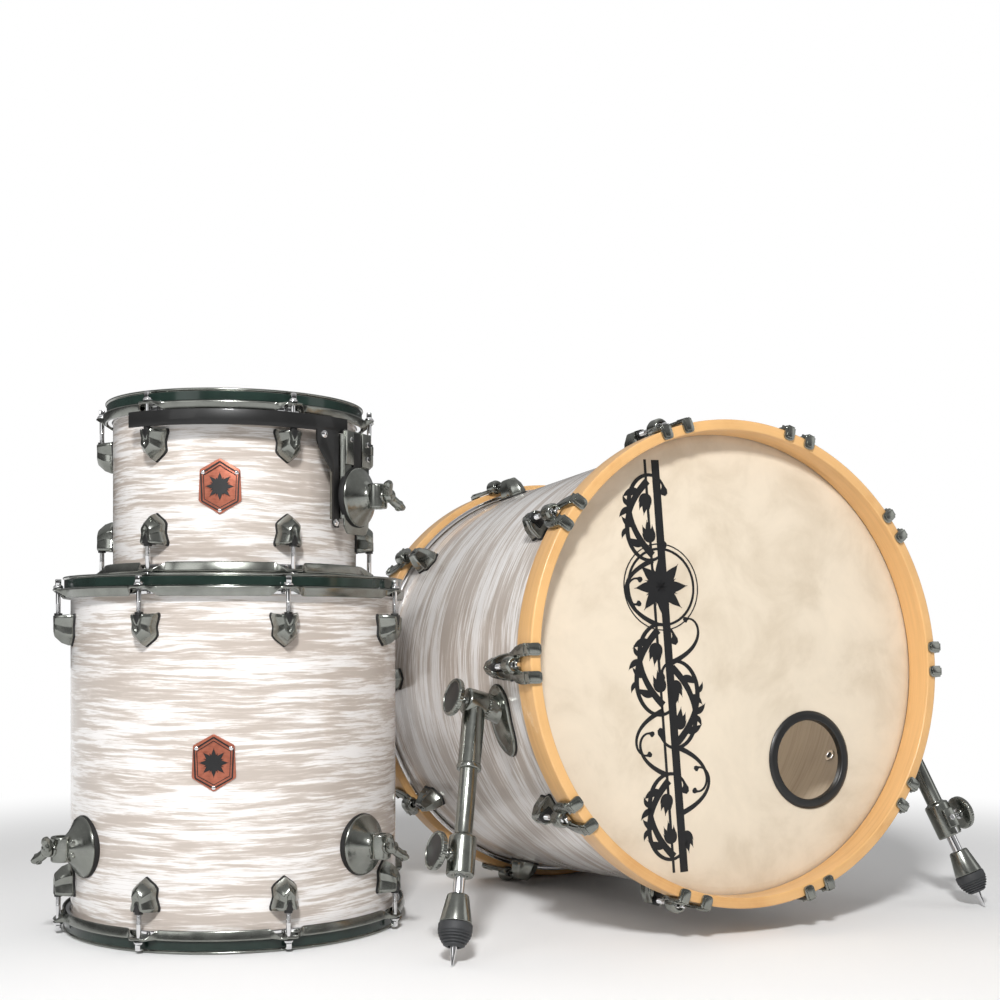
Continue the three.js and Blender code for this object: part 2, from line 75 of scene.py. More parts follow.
# ---- Sizes, in millimetres ----
BASS_SHELL, FLOOR_SHELL, RACK_SHELL = 279.4, 203.2, 152.4
BASS_WALL, TOM_WALL = 7, 6
HOOP_INNER, HOOP_OUTER, HOOP_WIDTH = 282, 295, 36
FILM_FACE = 34.7  # the bass drum's film, from the front of its hoop
TOM_FILM_FACE = 12
LUG_LENGTH, LUG_FROM_RIM = 38, 46
BASS_LUG_CENTRE = 95
BASS_ROD_HEIGHT, TOM_ROD_HEIGHT = 21.6, 17  # of a tension rod's axis over the shell
PORT_X, PORT_Z, PORT_INNER, PORT_OUTER = 111, -123, 49.5, 61.5
FIRST_LUG = {"bass": 18, "floor_tom": 22.5, "rack_tom": 30}
LUGS = {"bass": 10, "floor_tom": 8, "rack_tom": 6}
SPUR_PLATE_ANGLE, SPUR_PLATE_ALONG = 257, 122
MOUNT_ANGLE, MOUNT_RADIUS, MOUNT_LOW, MOUNT_HIGH = 61, 177, 63, 189
RAIL_INNER, RAIL_LOW, RAIL_HIGH, RAIL_FROM, RAIL_TO = 173.5, 184.6, 203, -38, 56
BADGE_WIDTH, BADGE_HEIGHT = 50, 66
RECEIVER_AT = 28  # a bracket's bore, from the shell
WING_FIRST, WING_EYE = 13.4, 17.4  # of a wing bolt: its foot over the bore, and its eyes from its axis
CLAMP_DOWN = -188  # of a spur leg's lower clamp, from its pivot
FOLD_REACH = 20  # from a tension rod, round the hoop, to where its ear starts to fold out
WING_TURNS = {"floor_1": 40, "floor_2": -40, "floor_3": -40, "rack": -40}  # degrees
WEB_ANGLE, WEB_WIDE, WEB_NARROW, WEB_LOW, WEB_BEND = 50.8, 34, 9, 70, 135
VENT_ANGLE, VENT_ALONG = 117, 155
# The border printed on the front head: its middle, its lean, its ends and how far out it may reach
ART_MIDDLE, ART_LEAN, ART_LOW, ART_HIGH, ART_LIMIT = -95, -0.04, -249, 246, 276
ROSETTE_Z = 92


# ================================ Shapes ================================
# A shape is (points, faces). Points are in millimetres.


def merged(*shapes):
    points, faces = [], []
    for some_points, some_faces in shapes:
        first = len(points)
        points += some_points
        faces += [[first + i for i in face] for face in some_faces]
    return points, faces


def placed(shape, matrix):
    points, faces = shape
    return [matrix @ Vector(p) for p in points], faces


def shifted(shape, x=0, y=0, z=0):
    return placed(shape, Matrix.Translation((x, y, z)))


def turned_to(shape, axis):
    """A shape made round +Y, turned to lie along X or Z instead."""
    if axis == "X":
        return placed(shape, Matrix.Rotation(-math.pi / 2, 4, "Z"))
    return placed(shape, Matrix.Rotation(math.pi / 2, 4, "X"))


def bent(shape, radius):
    """Wraps a flat shape, whose X runs round the drum, on to a shell of this radius."""
    points, faces = shape
    wrapped = []
    for x, y, z in points:
        angle = x / radius
        wrapped.append(((radius + z) * math.sin(angle), y, (radius + z) * math.cos(angle) - radius))
    return wrapped, faces


def rounded(outline, radius, steps=3, closed=True):
    """A 2-D outline with each corner replaced by an arc-like curve of about this radius."""
    count = len(outline)
    result = []
    for i, corner in enumerate(outline):
        corner = Vector(corner)
        if not closed and i in (0, count - 1):
            result.append(tuple(corner))
            continue
        before = Vector(outline[i - 1]) - corner
        after = Vector(outline[(i + 1) % count]) - corner
        reach = min(radius, before.length * 0.45, after.length * 0.45)
        start = corner + before.normalized() * reach
        end = corner + after.normalized() * reach
        for step in range(steps + 1):
            t = step / steps
            point = start * (1 - t) ** 2 + corner * 2 * t * (1 - t) + end * t**2
            result.append(tuple(point))
    return result


def lathe(profile, segments):
    """Turns (radius, along) points round +Y. The profile ends on the axis or closes on itself."""
    open_profile = profile[0][0] == 0 and profile[-1][0] == 0
    area = sum(a[0] * b[1] - b[0] * a[1] for a, b in zip(profile, profile[1:] + profile[:1]))
    if area < 0:
        profile = profile[::-1]
    points, rings = [], []
    for radius, along in profile:
        if radius == 0:
            rings.append([len(points)] * segments)
            points.append((0, along, 0))
            continue
        rings.append([len(points) + i for i in range(segments)])
        for i in range(segments):
            angle = 2 * math.pi * i / segments
            points.append((radius * math.sin(angle), along, radius * math.cos(angle)))
    faces = []
    last = len(rings) - 1 if open_profile else len(rings)
    for k in range(last):
        low, high = rings[k], rings[(k + 1) % len(rings)]
        for i in range(segments):
            j = (i + 1) % segments
            face = [low[i], low[j], high[j], high[i]]
            face = [v for n, v in enumerate(face) if v not in face[:n]]
            if len(face) > 2:
                faces.append(face)
    return points, faces


def disc(radius, low, high, segments=48, edge=0.6):
    profile = [(0, low), (radius, low), (radius, high), (0, high)]
    return lathe(rounded(profile, edge, 2, closed=False), segments)


def loft(rings):
    """Joins rings of equal length and caps both ends."""
    count = len(rings[0])
    points = [tuple(p) for ring in rings for p in ring]
    faces = [list(range(count))[::-1]]
    for k in range(len(rings) - 1):
        for i in range(count):
            j = (i + 1) % count
            a, b = k * count, (k + 1) * count
            faces.append([a + i, a + j, b + j, b + i])
    faces.append([(len(rings) - 1) * count + i for i in range(count)])
    return points, faces


def layered(outline, layers):
    """Lofts copies of a 2-D outline. A layer is (height, x scale, y scale, y shift)."""
    return loft([[(x * sx, y * sy + dy, z) for x, y in outline] for z, sx, sy, dy in layers])


def prism(outline, low, high):
    return layered(outline, [(low, 1, 1, 0), (high, 1, 1, 0)])


def block(x0, x1, y0, y1, z0, z1):
    return prism([(x0, y0), (x1, y0), (x1, y1), (x0, y1)], z0, z1)


def bevelled(shape, width, segments=2):
    """Rounds the shape's sharp edges."""
    bm = bmesh_of(shape)
    edges = [e for e in bm.edges if len(e.link_faces) == 2 and e.calc_face_angle(0) > SHARP_ANGLE]
    bmesh.ops.bevel(
        bm, geom=edges, offset=width, segments=segments, profile=0.5, affect="EDGES", clamp_overlap=True
    )
    bm.verts.index_update()
    result = [tuple(v.co) for v in bm.verts], [[v.index for v in f.verts] for f in bm.faces]
    bm.free()
    return result


def bmesh_of(shape):
    points, faces = shape
    bm = bmesh.new()
    verts = [bm.verts.new(p) for p in points]
    for face in faces:
        bm.faces.new([verts[i] for i in face])
    bmesh.ops.recalc_face_normals(bm, faces=bm.faces)
    return bm


def ribbon(centre, widths, low, high):
    """A flat stroke in the XZ plane along centre points, with its own width at each."""
    left, right = [], []
    for i, point in enumerate(centre):
        before, after = centre[max(i - 1, 0)], centre[min(i + 1, len(centre) - 1)]
        along = Vector((after[0] - before[0], after[1] - before[1])).normalized()
        side = Vector((-along.y, along.x)) * widths[i] / 2
        left.append((point[0] + side.x, point[1] + side.y))
        right.append((point[0] - side.x, point[1] - side.y))
    outline = left + right[::-1]
    count = len(centre)
    points = [(x, low, z) for x, z in outline] + [(x, high, z) for x, z in outline]
    total = len(outline)
    faces = []
    for i in range(count - 1):
        strip = [i, i + 1, total - 2 - i, total - 1 - i]
        faces.append(strip)
        faces.append([v + total for v in strip[::-1]])
    for i in range(total):
        j = (i + 1) % total
        faces.append([j, i, i + total, j + total])
    return points, faces


# ================================ Materials ================================


def set_stops(ramp, stops):
    """Gives a colour ramp its stops. A stop is (position, colour or number)."""
    elements = ramp.color_ramp.elements
    while len(elements) < len(stops):
        elements.new(0.5)
    for element, (position, value) in zip(elements, stops):
        element.position = position
        element.color = (*value, 1) if isinstance(value, tuple) else (value, value, value, 1)


class Surface:
    """A material with one Principled shader and short calls for its noise, ramps and mixes."""

    def __init__(self, name, roughness, metallic=0.0, coat=0.0, coat_roughness=0.05):
        self.material = bpy.data.materials.new(name)
        self.material.use_nodes = True
        tree = self.material.node_tree
        self.nodes, self.links = tree.nodes, tree.links
        self.shader = self.nodes["Principled BSDF"]
        self.shader.inputs["Roughness"].default_value = roughness
        self.shader.inputs["Metallic"].default_value = metallic
        self.shader.inputs["Coat Weight"].default_value = coat
        self.shader.inputs["Coat Roughness"].default_value = coat_roughness
        self.where = self.nodes.new("ShaderNodeTexCoord").outputs["Object"]

    def scaled(self, x, y, z, shift=(0, 0, 0)):
        node = self.nodes.new("ShaderNodeMapping")
        self.links.new(self.where, node.inputs["Vector"])
        node.inputs["Scale"].default_value = (x, y, z)
        node.inputs["Location"].default_value = shift
        return node.outputs["Vector"]

    def noise(self, vector, scale=1.0, detail=4.0, roughness=0.55, distortion=0.0):
        node = self.nodes.new("ShaderNodeTexNoise")
        self.links.new(vector, node.inputs["Vector"])
        node.inputs["Scale"].default_value = scale
        node.inputs["Detail"].default_value = detail
        node.inputs["Roughness"].default_value = roughness
        node.inputs["Distortion"].default_value = distortion
        return node.outputs["Fac"]

    def ramp(self, fac, *stops):
        node = self.nodes.new("ShaderNodeValToRGB")
        self.links.new(fac, node.inputs["Fac"])
        set_stops(node, stops)
        return node.outputs["Color"]

    def feed(self, socket, value):
        """Links another node's output to a socket, or gives the socket a colour or a number."""
        if isinstance(value, bpy.types.NodeSocket):
            self.links.new(value, socket)
        elif isinstance(value, tuple):
            socket.default_value = (*value, 1)
        else:
            socket.default_value = value

    def mix(self, fac, a, b):
        node = self.nodes.new("ShaderNodeMix")
        node.data_type = "RGBA"
        for socket, value in zip((node.inputs[0], node.inputs[6], node.inputs[7]), (fac, a, b)):
            self.feed(socket, value)
        return node.outputs[2]

    def math(self, operation, a, b):
        node = self.nodes.new("ShaderNodeMath")
        node.operation = operation
        for socket, value in zip(node.inputs, (a, b)):
            self.feed(socket, value)
        return node.outputs["Value"]

    def colour(self, value):
        self.feed(self.shader.inputs["Base Color"], value)

    def rough(self, fac, low, high):
        """Roughness that follows fac from low to high."""
        span = self.math("MULTIPLY_ADD", fac, high - low)
        span.node.inputs[2].default_value = low
        self.links.new(span, self.shader.inputs["Roughness"])

    def bump(self, height, depth, strength=1.0):
        """depth is in metres."""
        node = self.nodes.new("ShaderNodeBump")
        self.links.new(height, node.inputs["Height"])
        node.inputs["Distance"].default_value = depth
        node.inputs["Strength"].default_value = strength
        self.links.new(node.outputs["Normal"], self.shader.inputs["Normal"])


def oyster_wrap():
    """Streaks that run round the drum: white pearl over beige grey."""
    s = Surface("oyster wrap", 0.22, coat=0.5, coat_roughness=0.07)
    sway = s.noise(s.scaled(8, 14, 8), detail=2)
    warp = s.nodes.new("ShaderNodeVectorMath")
    warp.operation = "MULTIPLY_ADD"
    s.links.new(s.ramp(sway, (0.2, (0, 0, 0)), (0.8, (0, 1, 0))), warp.inputs[0])
    warp.inputs[1].default_value = (0, 1.7, 0)
    s.links.new(s.scaled(13, 235, 13), warp.inputs[2])
    streak = s.noise(warp.outputs[0], detail=7, roughness=0.68)
    broad = s.noise(s.scaled(6, 42, 6, (3, 1, 7)), detail=3, roughness=0.5)
    both = s.math("ADD", streak, s.math("MULTIPLY", broad, 0.7))
    base = s.ramp(
        both,
        (0.74, (0.50, 0.435, 0.385)),
        (0.82, (0.60, 0.535, 0.485)),
        (0.86, (0.75, 0.705, 0.67)),
        (0.92, (0.85, 0.825, 0.81)),
    )
    fine = s.noise(s.scaled(26, 880, 26, (5, 2, 1)), detail=3, roughness=0.6)
    lines = s.ramp(fine, (0.34, 0.35), (0.44, 1.0))
    s.colour(s.mix(lines, (0.50, 0.44, 0.39), base))
    s.rough(streak, 0.16, 0.3)
    s.bump(fine, 0.00004, 0.25)
    return s.material


def maple(name, light, dark, satin):
    """Grain that runs round a hoop or shell, with its plies across the thickness."""
    s = Surface(name, satin, coat=0.35, coat_roughness=0.25)
    grain = s.noise(s.scaled(9, 210, 9), detail=5, roughness=0.62, distortion=0.6)
    patch = s.noise(s.scaled(6, 14, 6, (2, 5, 3)), detail=2)
    flat = s.nodes.new("ShaderNodeVectorMath")
    flat.operation = "LENGTH"
    s.links.new(s.scaled(1, 0, 1), flat.inputs[0])
    plies = s.nodes.new("ShaderNodeTexNoise")
    plies.noise_dimensions = "1D"
    plies.inputs["Scale"].default_value = 700
    plies.inputs["Detail"].default_value = 2
    s.links.new(flat.outputs["Value"], plies.inputs["W"])
    fac = s.math("ADD", s.math("MULTIPLY", grain, 0.6), s.math("MULTIPLY", plies.outputs["Fac"], 0.15))
    fac = s.math("ADD", fac, s.math("MULTIPLY", patch, 0.45))
    s.colour(s.ramp(fac, (0.42, dark), (0.58, light), (0.78, tuple(min(1, c * 1.12) for c in light))))
    s.rough(grain, satin - 0.08, satin + 0.1)
    s.bump(grain, 0.00012, 0.35)
    return s.material


def coated_film(name, light, dark):
    """A drum head's sprayed coat: faint clouds of colour and a fine tooth."""
    s = Surface(name, 0.6)
    clouds = s.noise(s.scaled(11, 11, 11), detail=6, roughness=0.62, distortion=0.4)
    tooth = s.noise(s.scaled(1500, 1500, 1500), detail=2)
    s.colour(s.ramp(clouds, (0.34, dark), (0.52, light), (0.68, tuple(min(1, c * 1.06) for c in light))))
    s.rough(tooth, 0.5, 0.72)
    s.bump(tooth, 0.00006, 0.5)
    return s.material


def plated(name, colour, low, high, cloud=0.82):
    """Polished plating with a little haze, fine wiping marks and darker clouds."""
    s = Surface(name, low, metallic=1.0)
    haze = s.noise(s.scaled(45, 45, 45), detail=4, roughness=0.6)
    marks = s.noise(s.scaled(1400, 260, 1400), detail=2)
    dull = tuple(c * cloud for c in colour)
    s.colour(s.ramp(haze, (0.35, dull), (0.62, colour)))
    s.rough(haze, low, high)
    s.bump(marks, 0.00001, 0.35)
    return s.material


def enamel(name, colour, low, high):
    """Dark gloss coat with a faint orange peel. On the steel hoops' upright band its dark colour is painted
    reflection.
    """
    s = Surface(name, low, coat=0.2, coat_roughness=0.06)
    s.shader.inputs["Specular IOR Level"].default_value = 0.3
    peel = s.noise(s.scaled(420, 420, 420), detail=2)
    cloud = s.noise(s.scaled(30, 30, 30), detail=3)
    s.colour(s.ramp(cloud, (0.35, tuple(c * 0.7 for c in colour)), (0.65, colour)))
    s.rough(peel, low, high)
    s.bump(peel, 0.00002, 0.4)
    return s.material


def moulded(name, colour, low, high, grain, depth):
    """Rubber or plastic with a moulded grain."""
    s = Surface(name, low)
    fine = s.noise(s.scaled(grain, grain, grain), detail=3, roughness=0.6)
    wear = s.noise(s.scaled(60, 60, 60), detail=4)
    s.colour(s.ramp(wear, (0.35, tuple(c * 0.75 for c in colour)), (0.7, colour)))
    s.rough(fine, low, high)
    s.bump(fine, depth, 0.5)
    return s.material


def brushed_copper():
    s = Surface("brushed copper", 0.32, metallic=0.55)
    brush = s.noise(s.scaled(40, 1500, 40), detail=3)
    age = s.noise(s.scaled(120, 120, 120), detail=4)
    tone = s.ramp(age, (0.3, (0.28, 0.078, 0.046)), (0.6, (0.44, 0.135, 0.082)))
    s.colour(s.mix(s.ramp(brush, (0.4, 0.0), (0.6, 0.35)), tone, (0.52, 0.195, 0.12)))
    s.rough(brush, 0.25, 0.45)
    s.bump(brush, 0.00002, 0.3)
    return s.material


MATERIALS = {}


def make_materials():
    MATERIALS.update(
        wrap=oyster_wrap(),
        hoop=maple("maple hoop", (0.70, 0.41, 0.165), (0.57, 0.29, 0.095), 0.36),
        ply=maple("maple ply", (0.42, 0.35, 0.265), (0.33, 0.265, 0.19), 0.55),
        cream_film=coated_film("cream film", (0.69, 0.60, 0.475), (0.60, 0.51, 0.39)),
        white_film=coated_film("white film", (0.82, 0.81, 0.78), (0.74, 0.73, 0.70)),
        nickel=plated("black nickel", (0.29, 0.30, 0.275), 0.14, 0.3),
        chrome=plated("chrome", (0.80, 0.80, 0.81), 0.04, 0.12, 0.93),
        # The steel hoops' upright band: its near-black green is painted reflection of the dark horizon in
        # the nickel face
        enamel=enamel("green black enamel", (0.018, 0.034, 0.028), 0.12, 0.22),
        powder=enamel("black powder coat", (0.012, 0.012, 0.012), 0.32, 0.5),
        plastic=moulded("black plastic", (0.014, 0.014, 0.014), 0.25, 0.45, 900, 0.00002),
        gasket=moulded("black gasket", (0.009, 0.009, 0.009), 0.5, 0.75, 1200, 0.00003),
        rubber=moulded("grey rubber", (0.042, 0.044, 0.047), 0.5, 0.75, 1100, 0.00005),
        ink=moulded("black ink", (0.006, 0.006, 0.007), 0.35, 0.55, 1500, 0.00001),
        copper=brushed_copper(),
    )


# ================================ Pieces ================================


def mesh_of(name, *layers):
    """A mesh in metres from (shape, material name) layers, smooth but for its sharp edges."""
    mesh = bpy.data.meshes.new(name)
    whole = bmesh.new()
    for index, (shape, looks) in enumerate(layers):
        bm = bmesh_of(shape)
        for face in bm.faces:
            face.material_index = index
            face.smooth = True
        for edge in bm.edges:
            edge.smooth = len(edge.link_faces) == 2 and edge.calc_face_angle(0) < SHARP_ANGLE
        part = bpy.data.meshes.new("part")
        bm.to_mesh(part)
        bm.free()
        whole.from_mesh(part)
        bpy.data.meshes.remove(part)
        mesh.materials.append(MATERIALS[looks])
    bmesh.ops.scale(whole, vec=(MM, MM, MM), verts=whole.verts)
    whole.to_mesh(mesh)
    whole.free()
    mesh["looks"] = layers[0][1]
    return mesh


def added(name, data):
    """A new object, in the scene."""
    made = bpy.data.objects.new(name, data)
    bpy.context.scene.collection.objects.link(made)
    return made


def piece(name, mesh, frame, body, replaces=()):
    """Places a mesh by its frame, in metres, and lets it ride on a body."""
    made = added(name, mesh)
    made.matrix_world = frame
    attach(made, body)
    if replaces:
        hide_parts(*replaces)


def basis(x, y, z, origin):
    """A frame from three unit vectors and an origin in metres."""
    matrix = Matrix((x, y, z)).transposed().to_4x4()
    matrix.translation = origin
    return matrix


def around(angle, radius, along):
    """A mounting frame on a drum: angle in degrees from +Z towards +X, sizes in millimetres."""
    turn = math.radians(angle)
    place = Vector((radius * math.sin(turn), along, radius * math.cos(turn))) * MM
    return Matrix.Translation(place) @ Matrix.Rotation(turn, 4, "Y")


def spot_on(angle, radius, along):
    """The same mounting frame in millimetres, for shapes that join a larger mesh."""
    spot = around(angle, radius, along)
    spot.translation = spot.translation / MM
    return spot


def flipped(frame, total):
    """The same drum seen from its other end."""
    return frame @ Matrix.Translation((0, total * MM, 0)) @ Matrix.Rotation(math.pi, 4, "Z")


def lug_angles(drum):
    return [FIRST_LUG[drum] + i * 360 / LUGS[drum] for i in range(LUGS[drum])]


# ---- Lugs, rods and claws ----


def mirrored(half):
    """A closed outline from the points of its right half, listed from the top to the bottom."""
    return [(x, y) for x, y in half] + [(-x, y) for x, y in half[::-1] if x > 0]


def lug_mesh(name, rod_height):
    """A shield-shaped casting on a gasket. Its square end, at +Y, takes the rod."""
    half = [
        (0, 16.4), (6, 16.8), (15.6, 19.2), (16.6, 15), (13.2, 3.5), (14.4, -6.5), (11.2, -10.8), (0, -19.4),
    ]
    outline = rounded(mirrored(half), 1.3, 2)
    top = rod_height + 5
    body = layered(
        outline,
        [
            (1.6, 1, 1, 0), (5, 1, 1, 0), (top * 0.6, 0.84, 0.9, 1.2), (top - 1, 0.52, 0.68, 4.2),
            (top, 0.44, 0.6, 4.8), (top, 0.2, 0.3, 2.6), (top - 1.4, 0.12, 0.16, 2.2),
        ],
    )
    gasket = layered(outline, [(-2.4, 1.06, 1.05, -0.2), (1.8, 1.06, 1.05, -0.2)])
    # A dark mouth shaped like a V, where the rod goes in: a black solid that paints the shade inside the
    # opening
    notch = [(-5.6, 19), (5.6, 19), (2.4, 9.6), (0, 6.4), (-2.4, 9.6)]
    painted_shade_mouth = layered(notch, [(9, 1, 0.97, 0), (top + 0.5, 0.8, 0.9, 0)])
    nut = disc(4.9, 15, 20.2, 24, 0.5)
    return mesh_of(
        name,
        (bevelled(body, 0.5), "nickel"),
        (bevelled(gasket, 0.5), "gasket"),
        (merged(bevelled(painted_shade_mouth, 0.3), shifted(nut, z=rod_height)), "plastic"),
    )


def rod_mesh(name, head, ear, lug_face):
    """A tension rod along +Y: its square head ends at -head, its collar at ear, its thread in the lug."""
    square = rounded([(-3.2, -3.2), (3.2, -3.2), (3.2, 3.2), (-3.2, 3.2)], 0.7, 2)
    key = layered(square, [(-head - 1.2, 0.72, 0.72, 0), (-head - 2, 1, 1, 0), (-ear + 2.6, 1, 1, 0)][::-1])
    key = placed(key, Matrix.Rotation(math.pi / 2, 4, "X"))
    cone = [(0, ear - 4.2), (4.3, ear - 4.2), (5.8, ear - 2.2), (5.8, ear - 0.9), (0, ear - 0.9)]
    collar = lathe(rounded(cone, 0.5, 2, False), 28)
    thread = [(0, ear - 1), (2.9, ear - 1), (2.9, lug_face - 13)]
    for i in range(13):
        at = lug_face - 12.5 + i
        thread += [(3.05, at), (2.65, at + 0.5)]
    thread += [(2.65, lug_face + 1.5), (0, lug_face + 1.5)]
    washer = disc(6.1, ear - 1, ear + 0.1, 28, 0.3)
    return mesh_of(
        name, (merged(bevelled(key, 0.35), collar, lathe(thread, 20)), "chrome"), (washer, "gasket")
    )


def claw_mesh():
    """A forked hook over a wood hoop. Its cup, over the hoop, holds the rod's head."""
    outer = [(23, -3.6), (23, 18), (20.6, 30), (15.5, 40.5), (9, 47)]
    inner = [(8.5, -3.6), (8.5, 16), (6, 23)]
    plan = (
        outer + [(0, 49.6)] + [(-x, y) for x, y in outer[::-1]]
        + [(-x, y) for x, y in inner] + [(0, 25.5)] + inner[::-1]
    )
    shapes = [bevelled(prism(rounded(plan, 1.6, 3), 0.5, 4.6), 0.7)]
    cup = [(5.7, 27.5), (8.6, 27.5), (10.4, 31), (10.6, 43), (8.2, 49.4), (3.6, 49.6), (3.6, 46), (5.7, 40)]
    shapes.append(shifted(lathe(rounded(cup, 0.8, 3), 40), z=BASS_ROD_HEIGHT - 15.6))
    for side in (-1, 1):
        low, high = sorted((side * 8.5, side * 23))
        point = [(13.4, 36), (9.5, 34)] if side > 0 else [(-9.5, 34), (-13.4, 36)]
        ridge = [(low + 2.6, -4.4), (high - 2.6, -4.4), (high - 2.6, 17), *point, (low + 2.6, 17)]
        shapes.append(bevelled(prism(ridge, 4, 6), 0.6))
        shapes.append(bevelled(block(low - 0.2, high + 0.2, 5, 7.2, 3.4, 6.8), 0.5))
        for inset, near, far in ((0, 0.3, 3.7), (2.7, 3.2, 4.9)):
            left, right, tip = low + inset, high - inset, -12.2 + inset
            outline = rounded([(left, 4.6), (left, tip), (right, tip), (right, 4.6)], 5.6 - inset, 5)
            tab = placed(prism(outline, near, far), Matrix.Rotation(math.pi / 2, 4, "X"))
            shapes.append(bevelled(tab, 0.5))
    return mesh_of("claw", (merged(*shapes), "nickel"))


def lugs_and_rods(drum, frame, total, shell, body, lug, rod, lug_centre, rod_height):
    for end, base in (("low", frame), ("high", flipped(frame, total))):
        for i, angle in enumerate(lug_angles(drum)):
            if end == "high":
                angle = -angle
            at = base @ around(angle, shell, 0)
            lug_at = at @ Matrix.Translation((0, lug_centre * MM, 0)) @ Matrix.Rotation(math.pi, 4, "Z")
            rod_at = at @ Matrix.Translation((0, 0, rod_height * MM))
            piece(f"{drum}_{end}_lug_{i + 1}", lug, lug_at, body)
            piece(f"{drum}_{end}_rod_{i + 1}", rod, rod_at, body)


# ---- Shells and heads ----


def shell_mesh(name, radius, wall, low, high):
    outside = [
        (radius - 2.2, low), (radius - 0.9, low + 0.5), (radius, low + 1.6),
        (radius, high - 1.6), (radius - 0.9, high - 0.5), (radius - 2.2, high),
    ]
    skin = [(radius - 0.8, high - 2), (radius - 0.8, low + 2)]
    core = [
        (radius - 2.2, low + 0.1), (radius - 1, low + 1.2), (radius - 1, high - 1.2),
        (radius - 2.2, high - 0.1), (radius - wall, high - 5), (radius - wall, low + 5),
    ]
    return mesh_of(name, (lathe(outside + skin, 192), "wrap"), (lathe(core, 192), "ply"))


def film_profile(radius, face, outer, below):
    """A film across the drum with its collar turned down over the bearing edge."""
    return [
        (0, face), (radius - 7, face), (radius - 2, face + 0.25), (radius + 0.7, face + 1.1),
        (outer - 3, face + 2.6), (outer - 2.4, face + below), (outer - 3, face + below),
        (outer - 3.8, face + 3.2), (radius - 0.2, face + 1.8), (radius - 3, face + 0.8), (0, face + 0.7),
    ]


def flesh_hoop(outer, low, high):
    profile = rounded([(outer - 5.4, low), (outer, low), (outer, high), (outer - 5.4, high)], 1.2, 3)
    return mesh_of("flesh hoop", (lathe(profile, 160), "chrome"))


def cut(mesh, cutter):
    """The mesh less another closed shape."""
    target = added("target", mesh)
    tool = added("tool", cutter)
    boolean = target.modifiers.new("cut", "BOOLEAN")
    boolean.object = tool
    boolean.operation = "DIFFERENCE"
    boolean.solver = "EXACT"
    result = bpy.data.meshes.new_from_object(target.evaluated_get(bpy.context.evaluated_depsgraph_get()))
    result["looks"] = mesh["looks"]
    for polygon in result.polygons:
        if abs(polygon.normal.y) > 0.999:
            polygon.use_smooth = False
    for each in (target, tool):
        bpy.data.objects.remove(each)
    return result


# ---- Bass drum ----


def stem(x, z, heading, length, bend, tightness, width):
    """Centre line and widths of a tendril. It bends evenly, then curls up into a bud."""
    points, widths = [], []
    steps = 44
    angle = math.radians(heading)
    for i in range(steps + 1):
        t = i / steps
        points.append((x, z))
        bud = math.exp(-(((t - 0.97) / 0.03) ** 2))
        widths.append(width * (1 - 0.72 * t) + 0.9 * width * bud)
        angle += (bend + tightness * 3.2 * t**2.2) / steps
        x += math.cos(angle) * length / steps
        z += math.sin(angle) * length / steps
    return points, widths


def leaf(x, z, heading, length, width, bow):
    """A pointed leaf that bows to one side."""
    points, widths = [], []
    steps = 12
    angle = math.radians(heading)
    for i in range(steps + 1):
        t = i / steps
        points.append((x, z))
        widths.append(max(0.25, width * math.sin(math.pi * min(1, t * 1.04 + 0.02) ** 0.8)))
        angle += math.radians(bow) / steps
        x += math.cos(angle) * length / steps
        z += math.sin(angle) * length / steps
    return points, widths


def frond(x, z, heading, length, side):
    """A spray of five pointed leaves from one root, like an acanthus leaf."""
    leaves = []
    for n in range(5):
        turn = side * (-52 + 30 * n)
        size = length * (0.62, 0.86, 1.0, 0.8, 0.55)[n]
        leaves.append(leaf(x, z, heading + turn, size, size * 0.34, side * (46 - 22 * n)))
    return leaves


def leaves_along(line, side, length):
    """Leaves that stand off the outside of a tendril, shorter towards its tip."""
    points = line[0]
    leaves = []
    for n, i in enumerate((5, 12, 19)):
        (x0, z0), (x1, z1) = points[i], points[i + 1]
        heading = math.degrees(math.atan2(z1 - z0, x1 - x0))
        size = length * (1 - 0.2 * n)
        leaves.append(leaf(x0, z0, heading - side * 58, size, size * 0.36, side * 48))
    return leaves


def fits(line):
    """Whether a stroke stays inside the printed part of the head."""
    return all(math.hypot(x, z) < ART_LIMIT for x, z in line[0])


def art_rails():
    """The border's two leaning rails, one thin and one thick."""
    rails = []
    for offset, width in ((-10, 3.6), (4.5, 11)):
        ends = [(ART_MIDDLE + offset + ART_LEAN * z, z) for z in (ART_HIGH, 120, 0, -120, ART_LOW)]
        rails.append((ends, [width] * len(ends)))
    return rails


def art_tendrils():
    """Tendrils and fronds that spring from the two sides in turn, but for where the rosette is."""
    strokes = []
    random.seed(11)
    spacing, rows = 45, 11
    for k in range(rows):
        z = ART_HIGH - 26 - spacing * k
        side = 1 if k % 2 else -1
        up = 1 if (k // 2) % 2 else -1
        root = ART_MIDDLE + ART_LEAN * z + side * 8
        if abs(z + up * 40 - ROSETTE_Z) < 48:
            continue
        heading = 90 - side * 50 if up > 0 else -90 + side * 50
        curl = side * up  # the tendril curls back towards the rails
        size = random.uniform(0.94, 1.06)
        big = stem(root, z, heading, 158 * size, curl * 1.5, curl * 2.9, 9)
        small = stem(root, z - up * 6, heading - curl * 60, 88 * size, -curl * 0.7, -curl * 2.9, 6.5)
        strokes += [big, small]
        if fits(big):
            strokes += leaves_along(big, curl, 26)
        strokes += frond(root + side * 2, z + up * 16, heading + curl * 30, 27 * size, curl)
    return strokes


def art_rosette():
    """Eight long leaves and eight short ones in a double ring, each stroke with its layer."""
    x0, z0 = ART_MIDDLE - 3, ROSETTE_Z
    strokes = []
    for i in range(16):
        length, width = (24, 7) if i % 2 else (38, 14)
        strokes.append((leaf(x0, z0, i * 22.5, length, width, 6), 15 + i % 2))
    turns = [i * math.tau / 48 for i in range(49)]
    for radius, width in ((46, 3), (52, 1.4)):
        ring = [(x0 + radius * math.cos(a), z0 + radius * math.sin(a)) for a in turns]
        strokes.append(((ring, [width] * len(ring)), 17))
    return strokes


